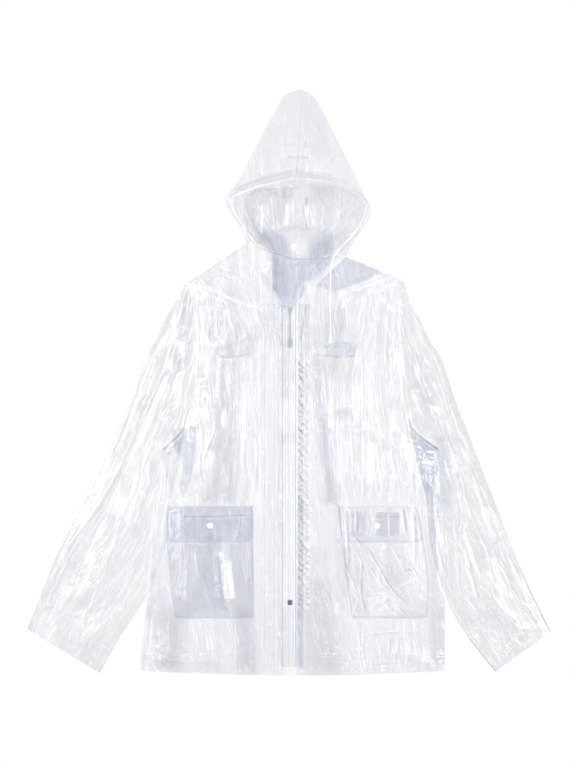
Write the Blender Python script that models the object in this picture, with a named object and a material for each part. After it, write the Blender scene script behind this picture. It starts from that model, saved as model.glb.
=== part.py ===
"""A clear rain jacket with hood, zip and two flap pockets, laid flat on its back.

X runs across the jacket (the wearer's right is at -X), Y from hem to hood, Z up from the surface it
lies on. The origin is under the middle of its outline. Tables and sizes are in millimetres.
"""

import math

import bmesh
import bpy
import numpy as np
from mathutils.bvhtree import BVHTree

MM = 0.001  # metres

# The film and the gaps
WALL = 1.0  # every film panel
SEAM = 0.3  # between pieces that are sewn or welded together
EDGE_OFF = 0.4  # sideways between two panels that meet edge to edge
LOFT = 2.7  # how far the fronts stand off the back, inside the side seams
SIDE_ROUND = 16.0  # distance from a side seam over which the fronts reach that loft

# The body's outline. Each guide is a line from hem to shoulder, as (y, x) rows
UNDERARM_Y = -130.0
LEVELS = (-520, -486, -449, -413, -376, -340, -304, -269, -236, -204, -168)  # grid rows below the arm
ARM_SHARES = (0, 0.04, 0.08, 0.13, 0.2, 0.28, 0.36, 0.45, 0.54, 0.63, 0.72, 0.81, 0.9, 1)
CAPE_ROW = 8  # the row of ARM_SHARES where the cape ends
SIDE_R = ((-549, -284), (-399, -268), (-301, -260), (-234, -249), (-149, -238), (-130, -236))
SIDE_L = ((-549, 296), (-405, 295), (-320, 292), (-234, 288), (-173, 284), (-130, 279))
ARMHOLE_R = ((-130, -236), (-92, -198), (-44, -183), (7, -176), (60, -172), (117, -173), (191, -187))
ARMHOLE_L = ((-130, 279), (-92, 232), (-42, 217), (7, 214), (64, 214), (146, 211), (193, 209))
POCKET_SIDE_R = ((-553, -205), (-449, -217), (-373, -226), (-236, -231), (-130, -190), (216, -150))
POCKET_SIDE_L = ((-551, 262), (-449, 262), (-373, 265), (-300, 254), (-236, 241), (-130, 205), (211, 172))
POCKET_INNER_R = ((-557, -64), (-449, -66), (-236, -69), (-130, -74), (262, -80))
POCKET_INNER_L = ((-557, 118), (-449, 118), (-373, 108), (-236, 93), (-130, 92), (237, 107))
FRONT_EDGE_R = ((-558, -10), (155, -12))
FRONT_EDGE_L = ((-558, 13), (150, 17))
BACK_MID = ((-558, 9), (231, 9))
TUCK_DEEP, TUCK_FADE = 62.0, 48.0  # the body lies over the sleeve's underarm this far in
TUCK_LIFT, CAPE_LIFT = 2.9, 1.3

# The sleeves, as (x, y) rows: the outer fold from the shoulder, the inner fold from the underarm
OUTER_R = ((-187, 191), (-213, 155), (-236, 117), (-253, 79), (-274, 41), (-301, -35), (-331, -111),
           (-367, -187), (-407, -263), (-445, -339), (-475, -415), (-497, -470))
OUTER_L = ((209, 193), (228, 155), (249, 117), (266, 79), (290, 41), (315, -35), (345, -111),
           (374, -187), (404, -263), (433, -339), (467, -415), (497, -474))
INNER_R = ((-236, -130), (-238, -160), (-226, -215), (-230, -290), (-247, -350), (-267, -400),
           (-301, -453), (-325, -491), (-360, -553))
INNER_L = ((279, -130), (280, -162), (266, -218), (264, -290), (279, -352), (297, -406),
           (319, -453), (344, -491), (391, -551))
SLEEVE_SHARES = (0, 0.016, 0.05, 0.1, 0.16, 0.22, 0.29, 0.36, 0.43, 0.5, 0.57, 0.64, 0.71, 0.78, 0.85, 0.925, 1)
PRESSED = 2.4  # the sleeve's height at its folds and under the body
SLEEVE_LOFT = 2.6  # more height in the middle
CUFF_RAISE = 0.6  # the turned hem of a cuff

# The hood, as (x, y) rows: the outer fold from neck to peak, the face edge and the brim
HOOD_FOLD_R = ((-80.5, 262.6), (-97, 302), (-112, 320), (-119, 347), (-97, 381), (-78, 418), (-55, 461),
               (-31, 507), (-14, 537), (-4, 547), (11, 552), (23.4, 555))
HOOD_FOLD_L = ((107.4, 237.8), (120, 262), (136, 286), (151, 309), (155, 330), (140, 359), (123, 395),
               (102, 437), (81, 478), (62, 516), (45, 543), (24.6, 555))
FACE_R = ((-62, 262), (-80, 284), (-95, 306), (-105, 328), (-107, 350), (-69, 366), (-25, 378), (10, 386))
FACE_L = ((86, 246), (106, 264), (131, 294), (143, 317), (146, 338), (123, 364), (87, 378), (12, 386))
HOOD_SEAM_TOP = ((11, 386), (14, 403), (20, 503), (24, 540))
HOOD_SEAM_BACK = ((9, 231.6), (9, 307), (13, 383), (20, 503), (24, 540))
HOOD_ROWS, BRIM_ROW = 18, 11  # the first rows end on the face edge and brim, the rest on the top seam
BRIM_SHARE = BRIM_ROW / HOOD_ROWS
HOOD_EDGE, HOOD_LOFT = 2.8, 6.2  # its height at the outer fold, and the rise to the middle of the brim
HOOD_TURN = 1.3  # how far inside the fold its round begins
BRIM_RAISE = 0.7  # the turned tunnel along the brim

# Neck bands, as (x, y) rows of the free edge; the other edge follows the front's neck seam
BAND_EDGE_R = ((-58, 258), (-40, 244), (-35, 214), (-34, 186), (-11.6, 157.6))
BAND_EDGE_L = ((84, 241), (51, 224), (34, 203), (26, 180), (17, 153))
BAND_Z = 4.0

# Folds that stand up out of a panel, as rows of (x0, y0, x1, y1, height, half width)
FRONT_FOLDS_R = (
    (-175, 172, -75, 128, 3.0, 24), (-150, 100, -148, -70, 5.0, 19),
    (-160, -70, -178, -190, 5.0, 17), (-100, 60, -104, -215, 4.0, 20), (-62, 90, -68, -215, 2.5, 16),
    (-225, -470, -228, -540, 3.0, 16), (-130, -480, -150, -540, 2.5, 18))
FRONT_FOLDS_L = (
    (190, 172, 95, 150, 3.0, 24), (60, 60, 68, -215, 3.5, 19), (196, 140, 206, 40, 3.5, 17),
    (205, 20, 222, -200, 5.5, 17), (140, 110, 138, -225, 4.0, 16), (100, -20, 112, -215, 2.5, 16),
    (240, -110, 262, -215, 3.5, 15), (70, -460, 75, -540, 2.5, 16), (200, -500, 270, -540, 2.5, 15))
SLEEVE_FOLDS_R = (
    (-206, 160, -215, 45, 5.0, 15), (-215, 45, -222, -70, 5.0, 15), (-218, 150, -340, -180, 5.0, 12),
    (-340, -180, -452, -400, 4.5, 12), (-262, -60, -318, -330, 4.0, 18), (-300, -200, -370, -430, 4.0, 18),
    (-350, -380, -440, -420, 2.5, 14), (-330, -440, -400, -500, 2.5, 15))
SLEEVE_FOLDS_L = (
    (222, 160, 236, 45, 4.5, 14), (236, 45, 272, -70, 5.0, 14), (275, 40, 330, -130, 4.5, 12),
    (330, -130, 388, -330, 5.5, 15), (388, -330, 398, -460, 5.0, 15), (320, -240, 330, -400, 4.0, 15),
    (360, -180, 440, -400, 3.0, 16), (400, -440, 450, -480, 2.5, 14))
HOOD_GATHERS = (
    (-50, 350, -46, 270, 3.0, 9), (-2, 352, 0, 290, 3.5, 9), (38, 352, 44, 280, 4.0, 9),
    (-70, 335, -34, 280, 3.0, 9), (90, 340, 75, 262, 3.0, 11), (120, 320, 92, 262, 2.5, 11))

# Zip and plackets
ZIP_X, ZIP_TOP, ZIP_FOOT = 1.5, 133.0, -414.0
TAPE_WIDE, TAPE_Z, TAPE_ENDS = 23.0, 2.65, (150.0, -541.0)
CHAIN_HALF, CHAIN_Z, CHAIN_HIGH = 2.4, 3.95, 1.6
BOX_HALF, BOX_LONG, BOX_HIGH = 4.5, 10.0, 2.4  # the stop at the foot of the chain
PLACKET_Z, PLACKET_ENDS = 5.3, (-545.0, 148.0)
PLACKET_L = (14.5, 38.5)  # x of its two edges
PLACKET_R = ((-47, -545), (-11, -545), (-12.6, 148), (-47, 148))
PUCKERS, PUCKER_HIGH = 44, 1.7

# Slider and pull tab
SLIDER_LONG, SLIDER_HALF, SLIDER_NECK, SLIDER_HIGH = 15.0, 5.0, 3.2, 3.0
SLIDER_TAPER, SLIDER_CORNER = 6.0, 2.0
ARCH_HALF, ARCH_THICK, ARCH_RISE, ARCH_REACH = 0.9, 1.1, 3.4, 4.5
PIN_RADIUS = 0.55
TAB_REACH, TAB_THICK = 75.0, 1.3
TAB_ARM_X, TAB_ARM_WIDE = 2.6, 1.1  # two arms that hold the pin, as far as TAB_FORK from it
TAB_FORK, TAB_BAR_START, TAB_BAR_HALF = 8.0, 12.0, 1.1
TAB_GRIP, TAB_GRIP_HALF = 55.0, 4.6

# Pockets
POCKET_TOP_LEVEL, POCKET_FOOT_LEVEL = -236, -449
FLAP_LEVEL = -304
BAG_PUFF_R, BAG_PUFF_L = 2.2, 4.5
CREASES_L = (
    (105, -270, 130, -420, 4.0, 11), (135, -330, 190, -400, 4.5, 11), (150, -370, 225, -425, 4.5, 11),
    (205, -290, 235, -430, 4.0, 11), (175, -300, 160, -430, 3.0, 10))
CREASES_R = ((-128, -320, -112, -440, 4.0, 12), (-190, -310, -185, -430, 2.0, 14))

# Snaps, as rows of (name, x, y, radius)
SNAPS = (
    ("snap_flap_right", -150, -273, 5.5), ("snap_flap_left", 167, -273, 5.5),
    ("snap_neck_upper", -47, 211, 4.5), ("snap_neck_lower", -27, 143, 4.0),
    ("snap_back_neck", 9, 256, 5.5), ("snap_hood", 5, 371, 4.5))
SNAP_HIGH = 2.2

# Drawstrings, as (x, y) rows from where each leaves the hood's tunnel
CORD_RADIUS = 1.3
CORD_R = ((-34, 224), (-33, 174), (-32, 133), (-30, 108), (-24, 88))
CORD_L = ((98, 254), (82, 233), (78.4, 193), (78, 140), (78.5, 94))
TIP_LONG, TIP_BASE, TIP_NOSE = 21.0, 2.9, 1.7

# Hanger loop
LOOP_X, LOOP_Y, LOOP_RISE, LOOP_WIDE = (-19.0, 30.0), 291.0, 10.0, 11.0


def smooth(t):
    """0 to 1 with level ends."""
    t = np.clip(t, 0.0, 1.0)
    return t * t * (3 - 2 * t)


def spline(points, count_each=10):
    """Points of a smooth curve through the given ones."""
    p = np.array(points, float)
    if len(p) < 3:
        return p
    ends = np.vstack([2 * p[0] - p[1], p, 2 * p[-1] - p[-2]])
    out = []
    for a, b, c, d in zip(ends[:-3], ends[1:-2], ends[2:-1], ends[3:]):
        for t in np.arange(count_each) / count_each:
            out.append(0.5 * (2 * b + (c - a) * t + (2 * a - 5 * b + 4 * c - d) * t**2
                              + (3 * b - a - 3 * c + d) * t**3))
    return np.array(out + [p[-1]])


def along(points, shares):
    """Points at these shares of the smooth curve's length."""
    curve = spline(points)
    steps = np.r_[0, np.cumsum(np.linalg.norm(np.diff(curve, axis=0), axis=1))]
    at = np.asarray(shares, float) * steps[-1]
    return np.stack([np.interp(at, steps, curve[:, k]) for k in range(curve.shape[1])], -1)


def x_of(guide, y):
    """x of a guide line at height y, from its (y, x) rows."""
    curve = spline(guide)
    return np.interp(y, curve[:, 0], curve[:, 1])


def ridges(x, y, rows):
    """Height of soft folds along straight lines that fade out at both ends."""
    total = np.zeros(np.shape(x))
    for x0, y0, x1, y1, height, half in rows:
        length = math.hypot(x1 - x0, y1 - y0)
        ux, uy = (x1 - x0) / length, (y1 - y0) / length
        run = (x - x0) * ux + (y - y0) * uy
        off = (x - x0) * uy - (y - y0) * ux
        ends = smooth(run / (0.3 * length) + 0.2) * smooth((length - run) / (0.3 * length) + 0.2)
        total = np.maximum(total, height * np.exp(-((off / half) ** 2)) * ends)
    return total


def material(name, colour, roughness, metallic=0.0, alpha=1.0):
    made = bpy.data.materials.new(name)
    made.use_nodes = True
    shader = made.node_tree.nodes["Principled BSDF"]
    shader.inputs["Base Color"].default_value = (*colour, 1)
    shader.inputs["Roughness"].default_value = roughness
    shader.inputs["Metallic"].default_value = metallic
    shader.inputs["Alpha"].default_value = alpha
    return made


def film(name, tint=1.0):
    return material(name, (0.86 * tint, 0.88 * tint, 0.93 * tint), 0.15, alpha=0.45)


def mesh_object(name, vertices, faces, look):
    """One named object from vertices in millimetres, with its faces turned outward."""
    mesh = bpy.data.meshes.new(name)
    mesh.from_pydata([tuple(MM * float(c) for c in v) for v in vertices], [], faces)
    shape = bmesh.new()
    shape.from_mesh(mesh)
    bmesh.ops.recalc_face_normals(shape, faces=shape.faces)
    shape.to_mesh(mesh)
    shape.free()
    mesh.materials.append(look)
    placed = bpy.data.objects.new(name, mesh)
    bpy.context.collection.objects.link(placed)
    return placed


def sheet(name, xy, low, high, look):
    """A panel between two heights over one grid of points, closed round its rim."""
    rows, cols = xy.shape[:2]
    lower = np.dstack([xy, low]).reshape(-1, 3)
    upper = np.dstack([xy, high]).reshape(-1, 3)
    return shell(name, lower, upper, rows, cols, look)


def both_sides(a, b, c, d, other):
    """Two triangles of a cell and the same two, turned over, on the wall's other surface."""
    return [(a, b, c), (a, c, d), (other + c, other + b, other + a), (other + d, other + c, other + a)]


def shell(name, lower, upper, rows, cols, look):
    """A wall between two surfaces that have the same rows and columns of points."""
    def at(r, c):
        return r * cols + c

    faces, top = [], rows * cols
    for r in range(rows - 1):
        for c in range(cols - 1):
            faces += both_sides(at(r, c), at(r, c + 1), at(r + 1, c + 1), at(r + 1, c), top)
    rim = [at(0, c) for c in range(cols)] + [at(r, cols - 1) for r in range(1, rows)]
    rim += [at(rows - 1, c) for c in range(cols - 2, -1, -1)] + [at(r, 0) for r in range(rows - 2, 0, -1)]
    faces += [(a, top + a, top + b, b) for a, b in zip(rim, rim[1:] + rim[:1])]
    return mesh_object(name, np.vstack([lower, upper]), faces, look)


def tube(name, outer, inner, look):
    """A wall between two rows of closed rings, open at both ends."""
    rows, cols = outer.shape[:2]
    def at(r, c):
        return r * cols + c % cols

    faces, cavity = [], rows * cols
    for r in range(rows - 1):
        for c in range(cols):
            faces += both_sides(at(r, c), at(r, c + 1), at(r + 1, c + 1), at(r + 1, c), cavity)
    for r in (0, rows - 1):
        faces += [(at(r, c), at(r, c + 1), cavity + at(r, c + 1), cavity + at(r, c)) for c in range(cols)]
    return mesh_object(name, np.vstack([outer.reshape(-1, 3), inner.reshape(-1, 3)]), faces, look)


def prism(name, outline, low, high, look, bevel=0.0):
    """A flat outline of (x, y) points between two heights, with its edges eased."""
    count = len(outline)
    vertices = [(x, y, z) for z in (low, high) for x, y in outline]
    faces = [tuple(range(count)), tuple(range(2 * count - 1, count - 1, -1))]
    faces += [(k, (k + 1) % count, count + (k + 1) % count, count + k) for k in range(count)]
    made = mesh_object(name, vertices, faces, look)
    if bevel:
        eased = made.modifiers.new("eased", "BEVEL")
        eased.width = bevel * MM
        eased.segments = 1
        eased.limit_method = "ANGLE"
    return made


def guide_points(guide, armhole_or_top, level_rows=LEVELS):
    """One (x, y) for each grid row along a guide line, from hem to shoulder or neck."""
    hem_y, top_y = guide[0][0], armhole_or_top[-1][0]
    ys = np.r_[hem_y, level_rows, UNDERARM_Y + np.array(ARM_SHARES) * (top_y - UNDERARM_Y)]
    joined = guide if armhole_or_top is guide else guide[:-1] + armhole_or_top
    return np.stack([x_of(joined, ys), ys], -1)


def side_points(side, armhole):
    """The side seam's and armhole's points, with the corner at the underarm kept sharp."""
    lower = np.r_[side[0][0], LEVELS]
    upper = UNDERARM_Y + np.array(ARM_SHARES) * (armhole[-1][0] - UNDERARM_Y)
    xs = np.r_[x_of(side, lower), x_of(armhole, upper)]
    return np.stack([xs, np.r_[lower, upper]], -1)


def between(guides, counts):
    """Grid points: each row runs straight from guide to guide, in this many steps."""
    columns = [guides[0]]
    for a, b, count in zip(guides[:-1], guides[1:], counts):
        columns += [a + (b - a) * k / count for k in range(1, count + 1)]
    return np.stack(columns, axis=1)


SIDES = {"right": (SIDE_R, ARMHOLE_R), "left": (SIDE_L, ARMHOLE_L)}
EDGE = {name: side_points(*tables) for name, tables in SIDES.items()}


def seam_distance(side, xy):
    """Distance of points from the side seam and armhole, and 0 for those inside it."""
    best = np.full(len(xy), np.inf)
    for a, b in zip(EDGE[side][:-1], EDGE[side][1:]):
        t = np.clip(((xy - a) @ (b - a)) / ((b - a) @ (b - a)), 0, 1)
        best = np.minimum(best, np.linalg.norm(xy - a - t[:, None] * (b - a), axis=1))
    return np.where(side_distance(*xy.T) < 0, best, 0)


def side_distance(x, y):
    """How far a point lies inside the nearer side seam or armhole."""
    from_right = x - np.interp(y, EDGE["right"][:, 1], EDGE["right"][:, 0])
    from_left = np.interp(y, EDGE["left"][:, 1], EDGE["left"][:, 0]) - x
    return np.minimum(from_right, from_left)


def over_arm(x, y):
    """How far the body is lifted where it lies over a sleeve's underarm."""
    inside = 1 - smooth((side_distance(x, y) - TUCK_DEEP) / TUCK_FADE)
    return TUCK_LIFT * inside * smooth((y + 455) / 40) * (1 - smooth((y + 95) / 50))


def over_cape(y):
    """How far the back panel is lifted by the cape."""
    return CAPE_LIFT * smooth(y / 36)


def back_under(x, y):
    """Underside of the back panel."""
    return over_cape(y) + over_arm(x, y)


def calm(x, y):
    """1 where a front may fold, 0 under the pockets and beside the zip."""
    beside_zip = smooth((np.abs(x - ZIP_X) - 50) / 25)
    from_side = smooth(side_distance(x, y) / 24)
    below = smooth((y - POCKET_TOP_LEVEL - 4) / 30)
    foot = smooth((POCKET_FOOT_LEVEL - 4 - y) / 30)
    return beside_zip * from_side * np.maximum(below, foot)


def front_under(x, y, top_gap, folds):
    """Underside of a front: close to the back at the seams, and raised in its folds."""
    rise = smooth(side_distance(x, y) / SIDE_ROUND) * smooth(top_gap / SIDE_ROUND)
    spaced = over_arm(x, y) + over_cape(y) * (1 - rise) + LOFT * rise
    return WALL + SEAM + spaced + ridges(x, y, folds) * calm(x, y)


def line_distance(x, y, a, b):
    """Distance of points from the straight line through a and b."""
    length = math.hypot(b[0] - a[0], b[1] - a[1])
    return np.abs((x - a[0]) * (b[1] - a[1]) - (y - a[1]) * (b[0] - a[0])) / length


FRONTS = {
    "right": {
        "guides": (POCKET_SIDE_R, POCKET_INNER_R, FRONT_EDGE_R), "folds": FRONT_FOLDS_R,
        "shoulder": ((-187, 191), (-80, 262))},
    "left": {
        "guides": (POCKET_SIDE_L, POCKET_INNER_L, FRONT_EDGE_L), "folds": FRONT_FOLDS_L,
        "shoulder": ((209, 193), (107, 237))}}
FRONT_COUNTS = (3, 8, 4)


def front_grid(side):
    """The front's points, columns from the side seam to the zip."""
    guides = [EDGE[side]] + [guide_points(g, g) for g in FRONTS[side]["guides"]]
    return between(guides, FRONT_COUNTS)


def front_low(side, xy):
    """The front's underside at these points."""
    x, y = xy[..., 0], xy[..., 1]
    shoulder = line_distance(x, y, *FRONTS[side]["shoulder"])
    return front_under(x, y, np.where(y > 100, shoulder, SIDE_ROUND), FRONTS[side]["folds"])


def make_body(clear):
    """Cape, back panel and the two fronts."""
    mid = guide_points(BACK_MID, BACK_MID)
    necks = [guide_points(g, g) for g in (POCKET_INNER_R, POCKET_INNER_L)]
    tucked = {}
    for side, way in (("right", 1), ("left", -1)):
        inner = EDGE[side] + np.array([way * TUCK_DEEP, 0])
        faded = EDGE[side] + np.array([way * (TUCK_DEEP + TUCK_FADE), 0])
        for line, share in ((inner, 0.5), (faded, 0.85)):
            slope = np.array(FRONTS[side]["shoulder"])
            line[-1, 1] = np.interp(abs(line[-1, 0]), *sorted_xy(slope))
            rows = len(ARM_SHARES)
            line[-rows:, 1] = UNDERARM_Y + np.array(ARM_SHARES) * (line[-1, 1] - UNDERARM_Y)
        tucked[side] = (inner, faded)
    guides = [EDGE["right"], *tucked["right"], necks[0], mid, necks[1], *tucked["left"][::-1], EDGE["left"]]
    back = between(guides, (2, 1, 1, 2, 2, 1, 1, 2))
    back = back + np.zeros_like(back)
    low = back_under(back[..., 0], back[..., 1])
    sheet("back_panel", back, low, low + WALL, clear)
    cape = back[len(LEVELS) + 1 + CAPE_ROW:]
    flat = np.zeros(cape.shape[:2])
    sheet("back_cape", cape, flat, flat + WALL, clear)
    for side in SIDES:
        xy = front_grid(side)
        low = front_low(side, xy)
        sheet(f"front_{side}", xy, low, low + WALL, clear)


def sorted_xy(line):
    """A two-point line as rising |x| with its y, for interpolation."""
    order = np.argsort(np.abs(line[:, 0]))
    return np.abs(line[order, 0]), line[order, 1]


def make_sleeve(side, outer_rows, inner_rows, folds, look):
    """A flattened tube from the armhole to the cuff: its first ring follows the armhole."""
    way = -1 if side == "right" else 1
    arm = EDGE[side][-len(ARM_SHARES):]
    outer_line, inner_line = along(outer_rows, SLEEVE_SHARES), along(inner_rows, SLEEVE_SHARES)
    across = np.array(ARM_SHARES, float)
    bulge = arm - (arm[0] + (arm[-1] - arm[0]) * across[:, None])
    slope = np.gradient(arm, axis=0)
    normal = np.stack([-slope[:, 1], slope[:, 0]], -1) / np.linalg.norm(slope, axis=1)[:, None]
    normal *= np.where(normal[:, :1] * way < 0, -1, 1)
    rings_out, rings_in = [], []
    for a, b, share in zip(inner_line, outer_line, SLEEVE_SHARES):
        straight = a + (b - a) * across[:, None] + bulge * (1 - smooth(share / 0.35))
        beside = arm + normal * (EDGE_OFF + 300 * share)
        line = beside + (straight - beside) * smooth((share - 0.01) / 0.06)
        span = (line[-1] - line[0]) / np.linalg.norm(line[-1] - line[0])
        body = np.vstack([line[0] + span * 1.5, line[1:-1], line[-1] - span * 1.5])
        edge = np.minimum(np.linalg.norm(body - line[0], axis=1), np.linalg.norm(body - line[-1], axis=1))
        free = smooth((seam_distance(side, body) - 16) / 30) * smooth(edge / 18)
        cuff = CUFF_RAISE * smooth((share - 0.92) / 0.03)
        foot = np.zeros(len(body))
        top = PRESSED + (SLEEVE_LOFT + ridges(*body.T, folds)) * free + cuff
        if share == 0:
            foot = back_under(*arm.T)
            top = foot + 2 * WALL + SEAM
        middle = [(foot[k] + top[k]) / 2 for k in (0, -1)]
        ends = (line[0] + span * WALL, line[-1] - span * WALL)
        rings_out.append([
            [*line[0], middle[0]], *np.column_stack([body, top]),
            [*line[-1], middle[1]], *np.column_stack([body, foot])[::-1]])
        rings_in.append([
            [*ends[0], middle[0]], *np.column_stack([body, top - WALL + 0.02]),
            [*ends[1], middle[1]], *np.column_stack([body, foot + WALL - 0.02])[::-1]])
    tube(f"sleeve_{side}", np.array(rings_out), np.array(rings_in), look)


def make_hood_half(side, fold_rows, face_rows, way, look):
    """One side panel, folded round its outer edge: a back layer below and a front layer above."""
    rows = np.linspace(0, 1, HOOD_ROWS + 1)
    fold = along(fold_rows, rows)
    on_face = np.arange(HOOD_ROWS + 1) <= BRIM_ROW
    inner = np.vstack([
        along(face_rows, rows[on_face] / BRIM_SHARE),
        along(HOOD_SEAM_TOP, (rows[~on_face] - BRIM_SHARE) / (1 - BRIM_SHARE))])
    seam = along(HOOD_SEAM_BACK, rows)
    inner[:, 0] += way * EDGE_OFF * (inner[:, 0] * way < 30)
    seam[:, 0] += way * EDGE_OFF
    outer_grid, inner_grid = [], []
    back_steps, front_steps = np.array([0, 0.22, 0.42, 0.6, 0.78, 0.9]), np.array([0.12, 0.35, 0.6, 0.84, 1.0])
    for k, share in enumerate(rows):
        span = (seam[k] - fold[k]) / np.linalg.norm(seam[k] - fold[k])
        back = seam[k] + (fold[k] - seam[k]) * back_steps[:, None]
        gathers = ridges(back[:, 0], back[:, 1], HOOD_GATHERS) * smooth(back_steps / 0.05 + 0.5)
        front = fold[k] + (inner[k] - fold[k]) * front_steps[:, None]
        rise = HOOD_LOFT * smooth(share / 0.25) * (1 - 0.6 * smooth((share - 0.55) / 0.45))
        wide = np.linalg.norm(front - fold[k], axis=1)
        over = np.linalg.norm(back - fold[k], axis=1)
        top = HOOD_EDGE + rise * smooth(wide / 60)
        top[-1] += BRIM_RAISE * (k <= BRIM_ROW)
        below = gathers * smooth(over / 40) * (share < 0.42)
        outer_grid.append([
            *np.column_stack([back, below]), [*(fold[k] + span * HOOD_TURN), 0], [*fold[k], HOOD_EDGE / 2],
            [*(fold[k] + span * HOOD_TURN), HOOD_EDGE], *np.column_stack([front, top])])
        inner_grid.append([
            *np.column_stack([back, below + WALL]), [*(fold[k] + span * HOOD_TURN), WALL],
            [*(fold[k] + span * WALL), HOOD_EDGE / 2], [*(fold[k] + span * HOOD_TURN), HOOD_EDGE - WALL],
            *np.column_stack([front, top - WALL])])
    outer, inside = np.array(outer_grid), np.array(inner_grid)
    count, cols = outer.shape[:2]
    shell(f"hood_{side}", outer.reshape(-1, 3), inside.reshape(-1, 3), count, cols, look)


def make_neck_band(side, edge_rows, look):
    """A strip from the front's neck seam to the hood's front edge."""
    shares = np.linspace(0, 1, 9)
    neck, foot = (np.array(FRONTS[side]["guides"][k][-1][::-1], float) for k in (1, 2))
    run = (foot - neck) / np.linalg.norm(foot - neck)
    off = np.array([-run[1], run[0]]) * (1 if run[0] > 0 else -1) * EDGE_OFF
    seam = neck + run + off + (foot - neck - 2 * run) * shares[:, None]
    edge = along(edge_rows, shares)
    xy = np.stack([seam, (seam + edge) / 2, edge], axis=1)
    low = np.full(xy.shape[:2], BAND_Z)
    low[:, 1] += 0.8 * np.sin(math.pi * shares)
    sheet(f"neck_band_{side}", xy, low, low + WALL, look)


def make_pockets(clear):
    """Bags and flaps, made from the front's own points moved out."""
    foot, top, flap = (1 + LEVELS.index(v) for v in (POCKET_FOOT_LEVEL, POCKET_TOP_LEVEL, FLAP_LEVEL))
    first = FRONT_COUNTS[0]
    last = first + FRONT_COUNTS[1]
    for side, puff, creases in (("right", BAG_PUFF_R, CREASES_R), ("left", BAG_PUFF_L, CREASES_L)):
        xy = front_grid(side)
        on = front_low(side, xy) + WALL
        rows, cols = slice(foot, top + 1), slice(first, last + 1)
        bag, lie = xy[rows, cols].copy(), on[rows, cols] + SEAM
        across = np.sin(math.pi * np.linspace(0, 1, bag.shape[1]))
        up = np.sin(math.pi * np.linspace(0, 0.9, bag.shape[0]))
        raised = np.outer(smooth(up * 2), smooth(across * 1.6))
        lift = puff * raised + ridges(bag[..., 0], bag[..., 1], creases) * raised
        sheet(f"pocket_{side}", bag, lie + lift, lie + lift + WALL, clear)
        over = slice(flap - foot, top + 1 - foot)
        lid = bag[over]
        lid_low = (lie + lift + WALL + SEAM)[over]
        sheet(f"pocket_flap_{side}", lid, lid_low, lid_low + WALL, clear)


def make_zip(tape_look, metal, dark):
    """Two tapes, the chain of teeth, slider, pull tab and the box at its foot."""
    for side, way in (("right", -1), ("left", 1)):
        inner = ZIP_X + way * EDGE_OFF / 2
        xs = sorted((inner, inner + way * TAPE_WIDE))
        outline = [(xs[0], TAPE_ENDS[1]), (xs[1], TAPE_ENDS[1]), (xs[1], TAPE_ENDS[0]), (xs[0], TAPE_ENDS[0])]
        prism(f"zip_tape_{side}", outline, TAPE_Z, TAPE_Z + WALL, tape_look)
    chain = [(ZIP_X - CHAIN_HALF, ZIP_FOOT), (ZIP_X + CHAIN_HALF, ZIP_FOOT),
             (ZIP_X + CHAIN_HALF, ZIP_TOP), (ZIP_X - CHAIN_HALF, ZIP_TOP)]
    prism("zip_chain", chain, CHAIN_Z, CHAIN_Z + CHAIN_HIGH, tape_look, bevel=0.5)
    foot = [(ZIP_X - BOX_HALF, ZIP_FOOT - BOX_LONG), (ZIP_X + BOX_HALF, ZIP_FOOT - BOX_LONG),
            (ZIP_X + BOX_HALF, ZIP_FOOT - SEAM), (ZIP_X - BOX_HALF, ZIP_FOOT - SEAM)]
    prism("zip_box", foot, CHAIN_Z, CHAIN_Z + BOX_HIGH, metal, bevel=0.6)
    make_slider(metal)
    make_pull_tab(dark)


def box(name, low, high, look):
    """A plain block between two corners, in millimetres."""
    outline = [(low[0], low[1]), (high[0], low[1]), (high[0], high[1]), (low[0], high[1])]
    return prism(name, outline, low[2], high[2], look)


def fuse(main, others):
    """Joins helper blocks to the main one and keeps them out of the model."""
    for other in others:
        join = main.modifiers.new(f"with_{other.name}", "BOOLEAN")
        join.operation = "UNION"
        join.object = other
        other.hide_render = True
        other.display_type = "WIRE"


SLIDER_Y = ZIP_TOP + SEAM + SLIDER_LONG / 2
PIN_Y, PIN_Z = SLIDER_Y - 1.5, CHAIN_Z + SLIDER_HIGH + ARCH_RISE - ARCH_THICK - PIN_RADIUS - 0.5


def make_slider(metal):
    """A heart-shaped body with the arch that holds the tab."""
    low_y, high_y = ZIP_TOP + SEAM, ZIP_TOP + SEAM + SLIDER_LONG
    outline = [(ZIP_X - SLIDER_NECK, low_y), (ZIP_X + SLIDER_NECK, low_y),
               (ZIP_X + SLIDER_HALF, low_y + SLIDER_TAPER), (ZIP_X + SLIDER_HALF, high_y - SLIDER_CORNER),
               (ZIP_X + SLIDER_HALF - SLIDER_CORNER, high_y), (ZIP_X - SLIDER_HALF + SLIDER_CORNER, high_y),
               (ZIP_X - SLIDER_HALF, high_y - SLIDER_CORNER), (ZIP_X - SLIDER_HALF, low_y + SLIDER_TAPER)]
    body = prism("zip_slider", outline, CHAIN_Z, CHAIN_Z + SLIDER_HIGH, metal)
    deck = CHAIN_Z + SLIDER_HIGH
    posts = [box(f"arch_post_{k}", (ZIP_X - ARCH_HALF, y - ARCH_THICK / 2, deck - 0.6),
                 (ZIP_X + ARCH_HALF, y + ARCH_THICK / 2, deck + ARCH_RISE - 0.2), metal)
             for k, y in enumerate((PIN_Y - ARCH_REACH, PIN_Y + ARCH_REACH))]
    ends = (PIN_Y - ARCH_REACH - ARCH_THICK / 2, PIN_Y + ARCH_REACH + ARCH_THICK / 2)
    bar = box("arch_bar", (ZIP_X - ARCH_HALF, ends[0], deck + ARCH_RISE - ARCH_THICK),
              (ZIP_X + ARCH_HALF, ends[1], deck + ARCH_RISE), metal)
    fuse(body, [*posts, bar])


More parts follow.
